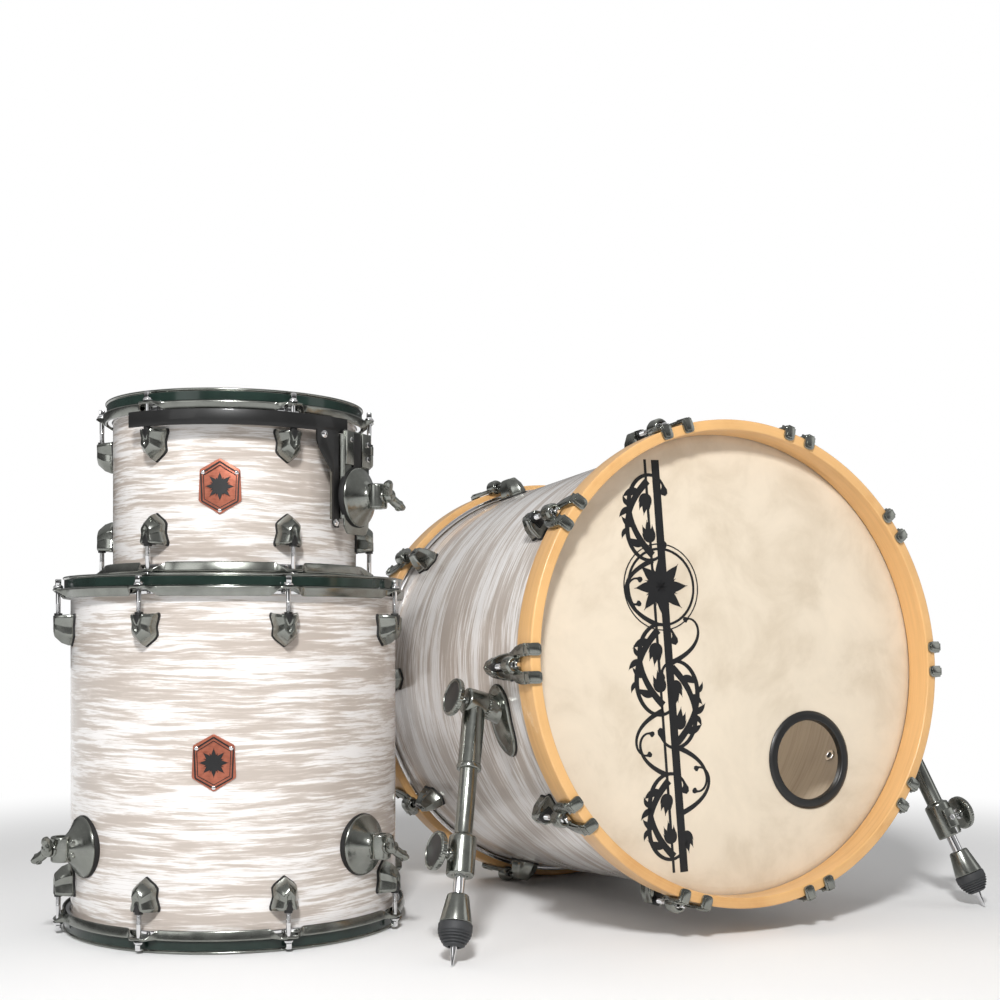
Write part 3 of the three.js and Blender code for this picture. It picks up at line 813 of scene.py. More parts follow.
def artwork_mesh():
    """A printed border of plain scrollwork. A stroke in a higher layer lies over the lower ones."""
    strokes = [(rail, 0) for rail in art_rails()]
    strokes += [(line, (n + 1) % 14) for n, line in enumerate(art_tendrils())]
    strokes += art_rosette()
    shapes = []
    for line, layer in strokes:
        if fits(line):
            shapes.append(ribbon(*line, FILM_FACE - 0.2 - 0.02 * layer, FILM_FACE - 0.01))
    return mesh_of("scroll border", (merged(*shapes), "ink"))


def inner_screws(shell, wall, total):
    """The screws and washers inside the bass drum, for its lugs and its spur brackets."""
    head = turned_to(lathe([(0, 0), (4.4, 0), (4, 1.8), (2, 2.6), (0, 2.7)], 16), "Z")
    washer = turned_to(disc(6.5, -0.2, 0.9, 20, 0.2), "Z")
    screw = placed(merged(head, washer), Matrix.Rotation(math.pi, 4, "Y"))
    rows = [centre + gap for centre in (BASS_LUG_CENTRE, total - BASS_LUG_CENTRE) for gap in (-9, 9)]
    spots = [(angle, y) for angle in lug_angles("bass") for y in rows]
    for side in (-1, 1):
        spots += [(side * (SPUR_PLATE_ANGLE + turn), SPUR_PLATE_ALONG) for turn in (-6, 6)]
    screws = [placed(screw, spot_on(angle, shell - wall, y)) for angle, y in spots]
    return mesh_of("inner screws", (merged(*screws), "chrome"))


def vent_mesh():
    """A grommet through the shell, in its mounting frame, with a black disc in its bore as painted shade."""
    tube = [(4, -9.4), (7.6, -9.4), (8.2, -8), (5.4, -7), (5.4, 0), (8.6, 0.2), (8, 1.6), (4, 2.2)]
    grommet = turned_to(lathe(rounded(tube, 0.4, 2), 40), "Z")
    # A black disc plugs the bore: painted shade for the dark inside of the hole
    dark = turned_to(disc(4.4, -8.6, 1.2, 24, 0.2), "Z")
    return mesh_of("vent", (grommet, "chrome"), (dark, "ink"))


def wood_hoop_mesh():
    corners = [(HOOP_INNER, 0), (HOOP_OUTER, 0), (HOOP_OUTER, HOOP_WIDTH), (HOOP_INNER, HOOP_WIDTH)]
    return mesh_of("wood hoop", (lathe(rounded(corners, 2.2, 4), 192), "hoop"))


def port_ring_mesh():
    face = FILM_FACE
    profile = [
        (PORT_INNER, face - 2.6), (PORT_INNER + 1.5, face - 4.2), (PORT_OUTER - 3.5, face - 3.8),
        (PORT_OUTER, face - 1.6), (PORT_OUTER, face - 0.3), (PORT_OUTER - 8.5, face - 0.3),
        (PORT_OUTER - 8.5, face + 5), (PORT_INNER, face + 5),
    ]
    return mesh_of("port ring", (lathe(rounded(profile, 0.9, 3), 96), "plastic"))


def bass_drum(frame, total):
    body = "bass_drum"
    far = flipped(frame, total)
    edge = HOOP_WIDTH
    shell = shell_mesh("bass shell", BASS_SHELL, BASS_WALL, edge, total - edge)
    piece("bass_shell_wrapped", shell, frame, body, ["bass_shell"])
    hoop = wood_hoop_mesh()
    piece("bass_front_wood_hoop", hoop, frame, body, ["bass_front_hoop"])
    piece("bass_rear_wood_hoop", hoop, far, body, ["bass_rear_hoop"])

    profile = film_profile(BASS_SHELL, FILM_FACE, 286.6, 9)
    film = mesh_of("bass film", (lathe(profile, 160), "cream_film"))
    hole = mesh_of("hole", (shifted(disc(PORT_OUTER - 8.2, 20, 60, 96), PORT_X, 0, PORT_Z), "plastic"))
    piece("bass_rear_film", film, far, body, ["bass_rear_head"])
    piece("bass_front_film", cut(film, hole), frame, body, ["bass_front_head"])
    rim = flesh_hoop(287, 37.2, 45.6)
    piece("bass_front_flesh_hoop", rim, frame, body)
    piece("bass_rear_flesh_hoop", rim, far, body)
    piece("bass_front_artwork", artwork_mesh(), frame, body)
    port_frame = frame @ Matrix.Translation((PORT_X * MM, 0, PORT_Z * MM))
    piece("bass_port_hole_ring", port_ring_mesh(), port_frame, body, ["bass_port_ring"])
    piece("bass_inner_screws", inner_screws(BASS_SHELL, BASS_WALL, total), frame, body)
    piece("bass_air_vent", vent_mesh(), frame @ around(VENT_ANGLE, BASS_SHELL, VENT_ALONG), body)

    lug = lug_mesh("bass lug", BASS_ROD_HEIGHT)
    rod = rod_mesh("bass rod", 18.5, 34, BASS_LUG_CENTRE - LUG_LENGTH / 2)
    lugs_and_rods("bass", frame, total, BASS_SHELL, body, lug, rod, BASS_LUG_CENTRE, BASS_ROD_HEIGHT)
    claw = claw_mesh()
    for end, base in (("front", frame), ("rear", far)):
        for i, angle in enumerate(lug_angles("bass")):
            at = base @ around(angle, HOOP_OUTER, 0)
            piece(f"bass_{end}_hook_{i + 1}", claw, at, body, [f"bass_{end}_claw_{i + 1}"])


# ---- Toms ----


def hoop_stations(drum, shell):
    """Angles round a steel hoop, with how far its flange is folded out into an ear at each."""
    side = ((7, 1), (9.5, 0.92), (13, 0.5), (17, 0.1), (FOLD_REACH, 0))
    fold = [(-x, share) for x, share in side[::-1]] + list(side)
    pitch = 360 / LUGS[drum]
    reach = math.degrees(FOLD_REACH / shell)
    steps = 14
    stations = []
    for angle in lug_angles(drum):
        stations += [(angle + math.degrees(x / shell), share) for x, share in fold]
        gap = pitch - 2 * reach
        stations += [(angle + reach + gap * i / steps, 0) for i in range(1, steps)]
    return stations


def steel_hoop_mesh(drum, shell):
    """A flanged hoop in its drum's frame: lip, a band painted dark as its reflection, and a flange folded
    out at each rod.
    """
    r = shell
    band = [
        (r + 3, 1), (r + 4, 0), (r + 8.4, 0), (r + 9.4, 1.2), (r + 9.2, 2.6), (r + 7.4, 3.6), (r + 7.4, 14),
    ]
    inside = [(r + 5, 16.4), (r + 3, 15)]
    flange = [
        (r + 11.4, 15), (r + 12.2, 16.4), (r + 10, 26), (r + 9, 26.8), (r + 7.6, 26.2), (r + 9.4, 17.4),
    ]
    ear = [
        (r + 10, 14.8), (r + 22, 15.2), (r + 22.8, 16.4), (r + 22.6, 17.4), (r + 21.6, 18), (r + 10, 17.6),
    ]
    points, faces = [], []
    stations = hoop_stations(drum, shell)
    for angle, share in stations:
        folded = [Vector(a).lerp(Vector(b), share) for a, b in zip(flange, ear)]
        turn = math.radians(angle)
        ring = rounded(band + folded + inside, 0.7, 2)
        points += [(radius * math.sin(turn), along, radius * math.cos(turn)) for radius, along in ring]
    count = len(ring)
    for k in range(len(stations)):
        low, high = k * count, (k + 1) % len(stations) * count
        faces += [[low + i, low + (i + 1) % count, high + (i + 1) % count, high + i] for i in range(count)]
    # A near-black skin over the upright band: painted reflection of the dark horizon in the steel face
    skin = [(r + 7.2, 3.9), (r + 7.6, 3.9), (r + 7.6, 13.8), (r + 7.2, 13.8)]
    return mesh_of(f"{drum} hoop", ((points, faces), "nickel"), (lathe(skin, 160), "enamel"))


def badge_mesh(shell):
    """A six-sided copper plate with a black border, a plain star and three nails."""
    w, h = BADGE_WIDTH / 2, BADGE_HEIGHT / 2
    corners = [(-w, -h * 0.52), (0, -h), (w, -h * 0.52), (w * 0.94, h * 0.6), (0, h), (-w * 0.94, h * 0.6)]
    outline = rounded(corners, 2, 3)
    plate = layered(outline, [(0.4, 1, 1, 0), (1.7, 1, 1, 0), (2.1, 0.985, 0.985, 0)])

    flat = Matrix.Rotation(-math.pi / 2, 4, "X")
    lines = []
    for scale, width in ((0.88, 1.7), (0.76, 0.8)):
        ring = [(x * scale, -y * scale) for x, y in corners]
        for a, b in zip(ring, ring[1:] + ring[:1]):
            lines.append(placed(ribbon([a, b], [width, width], -2.5, -1.9), flat))
    for k in range(16):
        length, width = (12, 3.6) if k % 2 else (17, 5.6)
        petal = ribbon(*leaf(0, 0, k * 22.5, length, width, 0), -2.45 - 0.02 * k, -1.9)
        lines.append(placed(petal, flat))
    nail = turned_to(lathe([(0, 1.5), (2.4, 1.5), (2.3, 2.6), (1.3, 3.2), (0, 3.3)], 20), "Z")
    spots = [(-w * 0.78, h * 0.5), (w * 0.78, h * 0.5), (0, -h * 0.86)]
    nails = merged(*[shifted(nail, x, y) for x, y in spots])
    return mesh_of(
        "badge",
        (bent(bevelled(plate, 0.3), shell), "copper"),
        (bent(merged(*lines), shell), "ink"),
        (bent(nails, shell), "chrome"),
    )


def tom(drum, frame, total, shell, body):
    far = flipped(frame, total)
    edge = TOM_FILM_FACE + 1.3
    wrapped = shell_mesh(f"{drum} shell", shell, TOM_WALL, edge, total - edge)
    piece(f"{drum}_shell_wrapped", wrapped, frame, body, [f"{drum}_shell"])
    hoop = steel_hoop_mesh(drum, shell)
    profile = film_profile(shell, TOM_FILM_FACE, shell + 6.2, 9)
    film = mesh_of(f"{drum} film", (lathe(profile, 128), "white_film"))
    rim = flesh_hoop(shell + 6.4, 15, 24.5)
    for end, base in (("bottom", frame), ("top", far)):
        piece(f"{drum}_{end}_steel_hoop", hoop, base, body, [f"{drum}_{end}_hoop"])
        piece(f"{drum}_{end}_film", film, base, body, [f"{drum}_{end}_head"])
        piece(f"{drum}_{end}_flesh_hoop", rim, base, body)
    at = frame @ around(0, shell, total / 2)
    piece(f"{drum}_name_plate", badge_mesh(shell), at, body, [f"{drum}_badge"])
    lug = lug_mesh(f"{drum} lug", TOM_ROD_HEIGHT)
    rod = rod_mesh(f"{drum} rod", 2.2, 14.9, LUG_FROM_RIM)
    centre = LUG_FROM_RIM + LUG_LENGTH / 2
    lugs_and_rods(drum, frame, total, shell, body, lug, rod, centre, TOM_ROD_HEIGHT)


# ---- Clamping brackets ----


def bracket_mesh():
    """A round dome on a gasket, with the barrel that takes a leg or arm, and a seat for the wing bolt."""
    gasket = turned_to(disc(37.2, -4, 2.6, 72, 0.8), "Z")
    profile = [
        (0, 2), (36, 2), (36.4, 3.8), (35, 5.4), (31.5, 7.4), (25.5, 11.6), (20, 16.4), (16.4, 20.6),
        (15.2, 23), (15.2, 25), (0, 25),
    ]
    dome = turned_to(lathe(rounded(profile, 1.4, 3, False), 72), "Z")
    tube = [(6.6, -15), (11.4, -15), (12.6, -13.4), (12.6, 13.4), (11.4, 15), (6.6, 15)]
    barrel = shifted(lathe(rounded(tube, 0.8, 3), 48), z=RECEIVER_AT)
    low = RECEIVER_AT - 12
    cheeks = bevelled(block(-14, 14, -11.5, 11.5, low, RECEIVER_AT - 6.9), 1.4, 3)
    top = RECEIVER_AT + 9
    ring = [(3, top), (9, top), (9, top + 3.2), (7.4, top + 4.2), (3, top + 4.2)]
    seat = turned_to(lathe(rounded(ring, 0.6, 2), 32), "Z")
    bolts = [shifted(turned_to(hex_head(4.2, 3.4), "X"), 13.6, y, low + 5) for y in (-6.5, 6.5)]
    return mesh_of("bracket", (merged(dome, barrel, cheeks, seat, *bolts), "nickel"), (gasket, "gasket"))


def hex_head(radius, height):
    profile = [(0, 0), (radius, 0), (radius, height * 0.8), (radius * 0.8, height), (0, height)]
    return lathe(rounded(profile, 0.3, 2, False), 6)


def wing_bolt_mesh(turn):
    """A wing bolt along +Z, turned about it: two thick lobes sweep out from the hub."""
    first = RECEIVER_AT + WING_FIRST
    hub = [
        (0, first), (4, first), (8, first + 0.6), (8.4, first + 3), (6.8, first + 9), (3, first + 10.4),
        (0, first + 10.4),
    ]
    # Sections of a lobe: distance from the axis, height of its middle, half height, half thickness
    sections = (
        (2, 5, 4.8, 6), (7, 5.6, 5.4, 6), (12, 7.4, 6.4, 5.8), (WING_EYE, 9.8, 6.8, 5.4),
        (21.6, 11.6, 5.6, 4.4), (24, 12.6, 2.6, 2.2),
    )
    around_ring = [math.tau * k / 16 for k in range(16)]
    shapes = [turned_to(lathe(rounded(hub, 0.9, 3, False), 36), "Z")]
    for side in (-1, 1):
        rings = []
        for x, z, tall, thick in sections:
            ring = [(side * x, thick * math.cos(a), first + z + tall * math.sin(a)) for a in around_ring]
            rings.append(ring)
        shapes.append(loft(rings))
        eye = lathe([(1.4, -6), (3.4, -6), (3.4, 6), (1.4, 6)], 20)
        shapes.append(shifted(eye, side * WING_EYE, 0, first + 9.8))
    whole = placed(merged(*shapes), Matrix.Rotation(math.radians(turn), 4, "Z"))
    return mesh_of("wing bolt", (whole, "nickel"))


def brackets(joint_frames):
    bracket = bracket_mesh()
    for i in (1, 2, 3):
        at = joint_frames[f"floor_wing_bolt_{i}_turn"]
        bolt = wing_bolt_mesh(WING_TURNS[f"floor_{i}"])
        piece(f"floor_bracket_{i}_cast", bracket, at, "floor_tom", [f"floor_leg_bracket_{i}"])
        piece(f"floor_wing_{i}", bolt, at, f"floor_tom_wing_bolt_{i}", [f"floor_wing_bolt_{i}"])
    at = joint_frames["rack_wing_bolt_turn"]
    piece("rack_bracket_cast", bracket, at, "rack_tom", ["rack_mount_bracket"])
    bolt = wing_bolt_mesh(WING_TURNS["rack"])
    piece("rack_wing", bolt, at, "rack_tom_wing_bolt", ["rack_wing_bolt"])


def curved_strip(radius, thickness, sections):
    """A strip curved round the drum. A section is (angle in degrees, low, high)."""
    rings = []
    for angle, low, high in sections:
        turn = math.radians(angle)
        corners = [(radius, low), (radius + thickness, low), (radius + thickness, high), (radius, high)]
        rings.append([(r * math.sin(turn), y, r * math.cos(turn)) for r, y in rounded(corners, 1, 2)])
    return loft(rings)


def rack_rail(frame):
    """The rail hangs the tom from two of its rods, and its arm runs down beside the plate."""
    steps = 28
    span = RAIL_TO - RAIL_FROM
    strip = curved_strip(
        RAIL_INNER, 3, [(RAIL_FROM + span * i / steps, RAIL_LOW, RAIL_HIGH) for i in range(steps + 1)]
    )
    reach = [math.degrees(x / RAIL_INNER) for x in (WEB_WIDE, WEB_NARROW)]
    first, second = WEB_ANGLE - reach[0], WEB_ANGLE - reach[1]
    arm_top, shoulder = RAIL_LOW + 3, RAIL_LOW - 12
    arm = []
    for i in range(9):
        t = i / 8
        arm.append((first + (second - first) * t, shoulder - (shoulder - WEB_BEND) * t**0.8, arm_top))
    for angle, bottom in ((second + 0.05, WEB_LOW + 4), (second + 1, WEB_LOW), (WEB_ANGLE, WEB_LOW)):
        arm.append((angle, bottom, arm_top))
    shapes = [strip, curved_strip(RAIL_INNER, 3, arm)]
    rubbers, screws = [], []
    middle = (RAIL_LOW + RAIL_HIGH) / 2
    for angle in (-30, 30):
        spot = spot_on(angle, 0, 0)
        tab = bevelled(block(-8, 8, middle - 2, middle + 2, RACK_SHELL + 9, RAIL_INNER + 1), 0.6)
        shapes.append(placed(tab, spot))
        grommet = shifted(disc(6.8, middle - 5.5, middle + 5.5, 32, 1.6), z=RACK_SHELL + TOM_ROD_HEIGHT)
        rubbers.append(placed(grommet, spot))
    head = turned_to(lathe([(0, -0.2), (4.8, -0.2), (4.4, 1.4), (2.4, 2.4), (0, 2.6)], 24), "Z")
    for angle, y in ((WEB_ANGLE - 8, RAIL_LOW - 4), (WEB_ANGLE - 1.6, WEB_LOW + 6)):
        screws.append(placed(head, spot_on(angle, RAIL_INNER + 3, y)))
    rail = mesh_of(
        "rail", (merged(*shapes), "powder"), (merged(*rubbers), "gasket"), (merged(*screws), "chrome")
    )
    piece("rack_rail_strip", rail, frame, "rack_tom", ["rack_mount_rail"])


def rack_plate(frame):
    """The channel that carries the rack tom's bracket, in its mounting frame."""
    low, high, side_high = MOUNT_LOW, MOUNT_HIGH, 184
    half_wide, deep, sheet = 29, 18, 3
    half = [(0, low), (20, low), (27.5, low + 9), (half_wide, low + 24), (half_wide, high)]
    outline = rounded(mirrored(half[::-1])[::-1], 3, 4)
    shapes = [bevelled(prism(outline, 0, sheet), 0.6)]
    for x in (-half_wide, half_wide - sheet):
        shapes.append(bevelled(block(x, x + sheet, low + 18, side_high, -deep, 2.4), 0.6))
    for x0, x1 in ((-28, -12), (8, 28)):
        shapes.append(bevelled(block(x0, x1, low + 84, high - 1, 2, 6.4), 1))
    strip = bevelled(block(-11, 7, low + 78, high - 2, 2.6, 5.2), 0.8)
    nut = turned_to(hex_head(3.4, 2.4), "Z")
    on_pads = [shifted(nut, x, low + y, 6.2) for x, y in ((-20, 114), (18, 112), (18, 94))]
    on_sheet = [shifted(nut, x, low + 22, 2.8) for x in (-23, 23)]
    nuts = merged(*on_pads, *on_sheet)
    mount = mesh_of("plate", (merged(*shapes), "nickel"), (strip, "gasket"), (nuts, "chrome"))
    at = frame @ around(MOUNT_ANGLE, MOUNT_RADIUS, 0)
    piece("rack_plate_cast", mount, at, "rack_tom", ["rack_mount_plate"])


# ---- Spurs ----


def knurled_disc(radius, low, high, notches):
    """A disc along +Y with shallow grips round its edge and a dished face."""
    count = notches * 6
    turns = [math.tau * i / count for i in range(count)]
    rings = []
    edge = ((low, 2.4), (low + 0.8, 0.8), (low + 2, 0), (high - 2, 0), (high - 0.8, 0.8), (high, 2.4))
    for y, shrink in edge:
        ring = []
        for a in turns:
            r = radius - shrink - 0.3 * max(0, math.cos(a * notches))
            ring.append((r * math.sin(a), y, r * math.cos(a)))
        rings.append(ring)
    for y, r in ((high - 0.2, radius - 3.4), (high - 1.4, radius - 4.2)):
        rings.append([(r * math.sin(a), y, r * math.cos(a)) for a in turns])
    return loft(rings)


def knob_mesh():
    """A thumb screw along +X, whose thread starts where the boss ends."""
    grip = knurled_disc(22.5, 24, 32, 36)
    face = disc(18, 30.2, 31.2, 56, 0.4)
    profile = [(0, 14.1), (4, 14.1), (4, 21), (7.4, 22), (7.4, 24.6), (0, 24.6)]
    shaft = lathe(rounded(profile, 0.5, 2, False), 32)
    return mesh_of(
        "knob",
        (turned_to(grip, "X"), "nickel"),
        (turned_to(face, "X"), "plastic"),
        (turned_to(shaft, "X"), "chrome"),
    )


def toothed_ring(outer, inner, low, high, teeth):
    """A disc along +Y with square teeth round its edge."""
    rings = []
    count = teeth * 4
    for y in (low, high):
        ring = []
        for i in range(count):
            a = math.tau * i / count
            r = outer if (i // 2) % 2 else inner
            ring.append((r * math.sin(a), y, r * math.cos(a)))
        rings.append(ring)
    return loft(rings)


def leg_mesh():
    """The tube of a spur leg, with the eye at its pivot and the clamp that holds its rod."""
    sleeve = [
        (0, 8), (9, 8), (13.5, 2), (13.5, -78), (14.6, -79), (14.6, -83.4), (13.6, -84.4),
        (10.5, -84.4), (10.5, -162), (12, -163.4), (15.4, -165), (16, -167), (16, -209), (15, -211),
        (9.4, -211), (8.6, -209), (6.9, -208), (6.9, -60), (0, -60),
    ]
    tube = lathe(rounded(sleeve, 0.7, 2, False), 64)
    hinge = [(0, -13.6), (14.2, -13.6), (16, -11.6), (16, 11.2), (13.4, 13.8), (0, 13.8)]
    eye = turned_to(lathe(rounded(hinge, 1, 3, False), 56), "X")
    ring = turned_to(toothed_ring(15.6, 14.2, -13.8, -9, 24), "X")
    stub = [(0, 10), (7.4, 10), (7.4, 17), (6.4, 18), (0, 18)]
    seat = shifted(turned_to(lathe(rounded(stub, 0.6, 2, False), 32), "X"), y=CLAMP_DOWN)
    cheeks = shifted(bevelled(block(-8, 8, -13, 13, 12, 18.6), 1.6, 3), y=CLAMP_DOWN)
    bolt = shifted(turned_to(hex_head(4.4, 3.2), "Z"), y=CLAMP_DOWN, z=18.4)
    groove = shifted(bevelled(block(-1.1, 1.1, -22.6, -14, 15, 16.4), 0.2), y=CLAMP_DOWN)
    return mesh_of(
        "spur leg", (merged(tube, eye, ring, seat, cheeks), "nickel"), (merged(groove, bolt), "chrome")
    )


def spur_rod_mesh(tip):
    """The rod inside a spur leg. It ends in a spike, this far from the pivot."""
    profile = [
        (0, -105), (5.4, -105), (6.4, -106), (6.4, -284), (5.6, -287), (4.2, -289), (3.6, -292),
        (2.9, -297), (1.1, -tip), (0, -tip),
    ]
    return mesh_of("spur rod", (lathe(rounded(profile, 0.5, 2, False), 48), "chrome"))


def foot_mesh():
    """A metal cone over a ribbed rubber foot, both on the rod."""
    cone = [(6.9, -232), (11, -232), (12.4, -233.5), (18.2, -263.6), (17.4, -264.6), (6.9, -264.6)]
    rubber = [(6.9, -264.8), (18.4, -264.8), (19.2, -266), (19.3, -274)]
    for i in range(5):
        y = -275.4 - i * 3
        r = 19.3 - 0.42 * (i + 1) ** 1.75
        rubber += [(r - 1, y), (r, y - 0.7), (r - 0.15, y - 2), (r - 1.1, y - 2.3)]
    rubber += [(9, -291), (6.9, -291)]
    return mesh_of(
        "spur foot",
        (lathe(rounded(cone, 0.5, 2), 56), "nickel"),
        (lathe(rounded(rubber, 0.3, 2), 64), "rubber"),
    )


def spur_plate(side):
    """The plate and gasket, bent to the shell, in their mounting frame: an oval, broad at its top."""
    outline = []
    for i in range(48):
        a = math.tau * i / 48
        pinch = 1 - 0.12 * math.cos(2 * a) ** 2 + 0.1 * math.cos(a)
        outline.append((-side * 44 * math.cos(a), 28 * pinch * math.sin(a)))
    outline = outline if side < 0 else outline[::-1]
    gasket = layered(outline, [(-1.5, 1.02, 1.03, 0), (1.8, 1.02, 1.03, 0)])
    plate = layered(
        outline,
        [
            (1.5, 1, 1, 0), (3.6, 1, 1, 0), (4.8, 0.96, 0.95, 0), (4.4, 0.88, 0.84, 0),
            (5.6, 0.8, 0.74, 0), (9, 0.5, 0.5, 0), (9.6, 0.2, 0.2, 0),
        ],
    )
    return bent(plate, BASS_SHELL), bent(gasket, BASS_SHELL)


def spur(side, frame, joint_frames):
    """One folding leg. Its frame has X along the pivot and Y up the leg."""
    name = "left" if side < 0 else "right"
    at = joint_frames[f"{name}_pivot_knob_turn"]
    plate_frame = frame @ around(-side * SPUR_PLATE_ANGLE, BASS_SHELL, SPUR_PLATE_ALONG)
    to_leg = at.inverted() @ plate_frame
    to_leg.translation = to_leg.translation / MM
    plate, gasket = spur_plate(side)
    profile = [(0, -40), (19, -40), (15.4, -26), (15, -16), (14.2, -14.1), (0, -14.1)]
    boss = turned_to(lathe(rounded(profile, 1, 3, False), 56), "X")
    teeth = turned_to(toothed_ring(15.6, 14.2, -18, -14.2, 24), "X")
    post = mesh_of(
        f"spur bracket {name}",
        (merged(placed(plate, to_leg), boss, teeth), "nickel"),
        (placed(gasket, to_leg), "gasket"),
    )
    piece(f"spur_plate_{name}", post, at, "bass_drum", [f"spur_bracket_{name}"])
    tip = at.translation.z / (at.to_3x3() @ Vector((0, 1, 0))).z / MM - 0.6
    piece(f"spur_tube_{name}", leg_mesh(), at, f"{name}_spur_leg", [f"spur_leg_{name}"])
    piece(f"spur_spike_rod_{name}", spur_rod_mesh(tip), at, f"{name}_spur_rod", [f"spur_rod_{name}"])
    piece(f"spur_rubber_foot_{name}", foot_mesh(), at, f"{name}_spur_foot", [f"spur_foot_{name}"])
    knob = knob_mesh()
    piece(f"spur_upper_knob_{name}", knob, at, f"{name}_spur_pivot_knob", [f"spur_pivot_knob_{name}"])
    lower = joint_frames[f"{name}_clamp_knob_turn"]
    piece(f"spur_lower_knob_{name}", knob, lower, f"{name}_spur_clamp_knob", [f"spur_clamp_knob_{name}"])


# ================================ Frames ================================


def frames_from_joints(joints):
    """A frame for each knob and wing bolt, from where its joint is and the way that it points."""
    by_name = {joint["name"]: joint for joint in joints}
    frames = {}
    for name, joint in by_name.items():
        if not name.endswith("_turn"):
            continue
        axis = Vector(joint["axis"]).normalized()
        if "wing" in name:
            up = Vector((0, 0, 1))
            frames[name] = basis(up.cross(axis), up, axis, Vector(joint["pos_m"]))
            continue
        side = name.split("_")[0]
        up = -Vector(by_name[f"{side}_spur_extend"]["axis"]).normalized()
        frames[name] = basis(axis, up, axis.cross(up), Vector(joint["pos_m"]))
    return frames


def middle_of(node):
    low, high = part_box(node)
    return (low + high) / 2


def bass_frame():
    """The bass drum's axis runs through the middles of its two heads."""
    front, rear = middle_of("bass_front_head"), middle_of("bass_rear_head")
    along = (rear - front).normalized()
    side = Vector((1, 0, 0))
    total = (rear - front).length + 2 * (FILM_FACE + 5.5) * MM
    return basis(side, along, side.cross(along), (front + rear) / 2 - along * total / 2), total / MM


def tom_frame(drum, facing):
    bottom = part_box(f"{drum}_bottom_hoop")[0].z
    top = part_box(f"{drum}_top_hoop")[1].z
    centre = middle_of(f"{drum}_bottom_head")
    up = Vector((0, 0, 1))
    origin = Vector((centre.x, centre.y, bottom))
    return basis(up.cross(facing), up, facing, origin), (top - bottom) / MM


# ================================ Studio ================================

CAMERA_FROM_BASS = Vector((-1.0263, -1.4159, 0.0334))  # metres, from the bass drum's front centre
CAMERA_TURN = math.radians(-26.07)
LENS, SENSOR, SHIFT_Y = 51.42, 36, 0.1335


def camera(bass):
    data = bpy.data.cameras.new("camera")
    data.lens = LENS
    data.sensor_width = SENSOR
    data.shift_y = SHIFT_Y
    made = added("camera", data)
    made.location = bass.translation + CAMERA_FROM_BASS
    made.rotation_euler = (math.pi / 2, 0, CAMERA_TURN)
    bpy.context.scene.camera = made


def softbox(name, place, target, size, power):
    """A soft light. Its place, target and size are in metres, its power in watts."""
    data = bpy.data.lights.new(name, "AREA")
    data.shape = "RECTANGLE"
    data.size, data.size_y = size
    data.energy = power
    made = added(name, data)
    made.location = place
    made.rotation_euler = (Vector(target) - Vector(place)).to_track_quat("-Z", "Y").to_euler()


def studio():
    softbox("key", (-1.25, -2.2, 1.95), (-0.05, -0.1, 0.3), (0.35, 0.35), 74)
    softbox("side", (-2.3, -1.2, 1.3), (0, 0, 0.3), (0.9, 1.2), 6)
    softbox("fill", (2.4, -1.6, 1.2), (0, 0, 0.3), (1.0, 1.6), 5)
    softbox("top", (0.2, 0.6, 2.9), (0, 0, 0.2), (2.4, 1.6), 6)
    world = bpy.data.worlds.new("studio")
    world.use_nodes = True
    nodes, links = world.node_tree.nodes, world.node_tree.links
    # Seen directly the studio is white. Reflected, it is dark at the horizon and pale overhead.
    direction = nodes.new("ShaderNodeSeparateXYZ")
    links.new(nodes.new("ShaderNodeTexCoord").outputs["Generated"], direction.inputs[0])
    sky = nodes.new("ShaderNodeValToRGB")
    links.new(direction.outputs["Z"], sky.inputs["Fac"])
    set_stops(sky, ((0.0, 0.05), (0.14, 0.08), (0.3, 0.30), (0.7, 0.40)))
    path = nodes.new("ShaderNodeLightPath")
    mix = nodes.new("ShaderNodeMix")
    mix.data_type = "RGBA"
    links.new(path.outputs["Is Camera Ray"], mix.inputs[0])
    links.new(sky.outputs["Color"], mix.inputs[6])
    mix.inputs[7].default_value = (1, 1, 1, 1)
    links.new(mix.outputs[2], nodes["Background"].inputs["Color"])
    bpy.context.scene.world = world
    bpy.context.scene.view_settings.view_transform = "Standard"


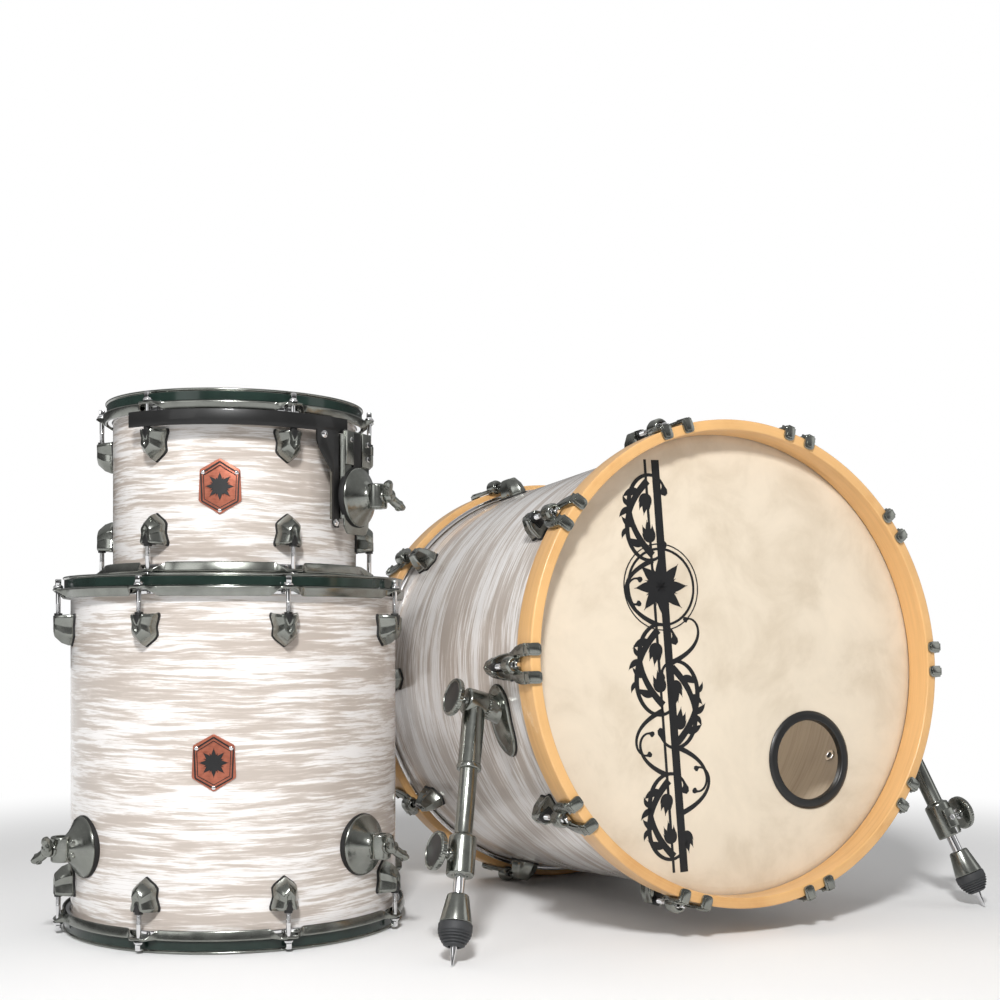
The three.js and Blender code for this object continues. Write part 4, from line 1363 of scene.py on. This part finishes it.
def lamp_inside(frame, total):
    """A small lamp in the bass drum, so that its maple shows through the port hole."""
    data = bpy.data.lights.new("inside", "POINT")
    data.energy = 1.1
    data.shadow_soft_size = 0.06
    made = added("inside", data)
    made.location = frame @ Vector((0, total * 0.55 * MM, 0.05))


def studio_floor():
    s = Surface("studio floor", 0.9)
    soft = s.noise(s.scaled(1.5, 1.5, 1.5), detail=2)
    far = s.nodes.new("ShaderNodeVectorMath")
    far.operation = "LENGTH"
    s.links.new(s.where, far.inputs[0])
    fade = s.nodes.new("ShaderNodeMapRange")
    fade.interpolation_type = "SMOOTHSTEP"
    s.links.new(far.outputs["Value"], fade.inputs["Value"])
    fade.inputs["From Min"].default_value = 0.85
    fade.inputs["From Max"].default_value = 1.7
    pale = s.ramp(soft, (0.3, (0.87, 0.87, 0.87)), (0.7, (0.89, 0.89, 0.89)))
    s.colour(s.mix(fade.outputs["Result"], pale, (0, 0, 0)))
    s.shader.inputs["Emission Color"].default_value = (1, 1, 1, 1)
    s.links.new(fade.outputs["Result"], s.shader.inputs["Emission Strength"])
    s.shader.inputs["Specular IOR Level"].default_value = 0.0
    mesh = bpy.data.meshes.new("floor")
    bm = bmesh.new()
    bmesh.ops.create_circle(bm, cap_ends=True, radius=14, segments=96)
    bm.to_mesh(mesh)
    bm.free()
    mesh.materials.append(s.material)
    made = added("floor", mesh)
    made.location.z = -0.0004


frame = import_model()

studio()
studio_floor()
make_materials()

joint_frames = frames_from_joints(frame["joints"])
bass, bass_total = bass_frame()
camera(bass)
facing = -joint_frames["floor_wing_bolt_3_turn"].to_3x3().col[2]
floor_tom, floor_total = tom_frame("floor_tom", facing)
rack_tom, rack_total = tom_frame("rack_tom", facing)

bass_drum(bass, bass_total)
lamp_inside(bass, bass_total)
spur(-1, bass, joint_frames)
spur(1, bass, joint_frames)
tom("floor_tom", floor_tom, floor_total, FLOOR_SHELL, "floor_tom")
tom("rack_tom", rack_tom, rack_total, RACK_SHELL, "rack_tom")
brackets(joint_frames)
rack_rail(rack_tom)
rack_plate(rack_tom)
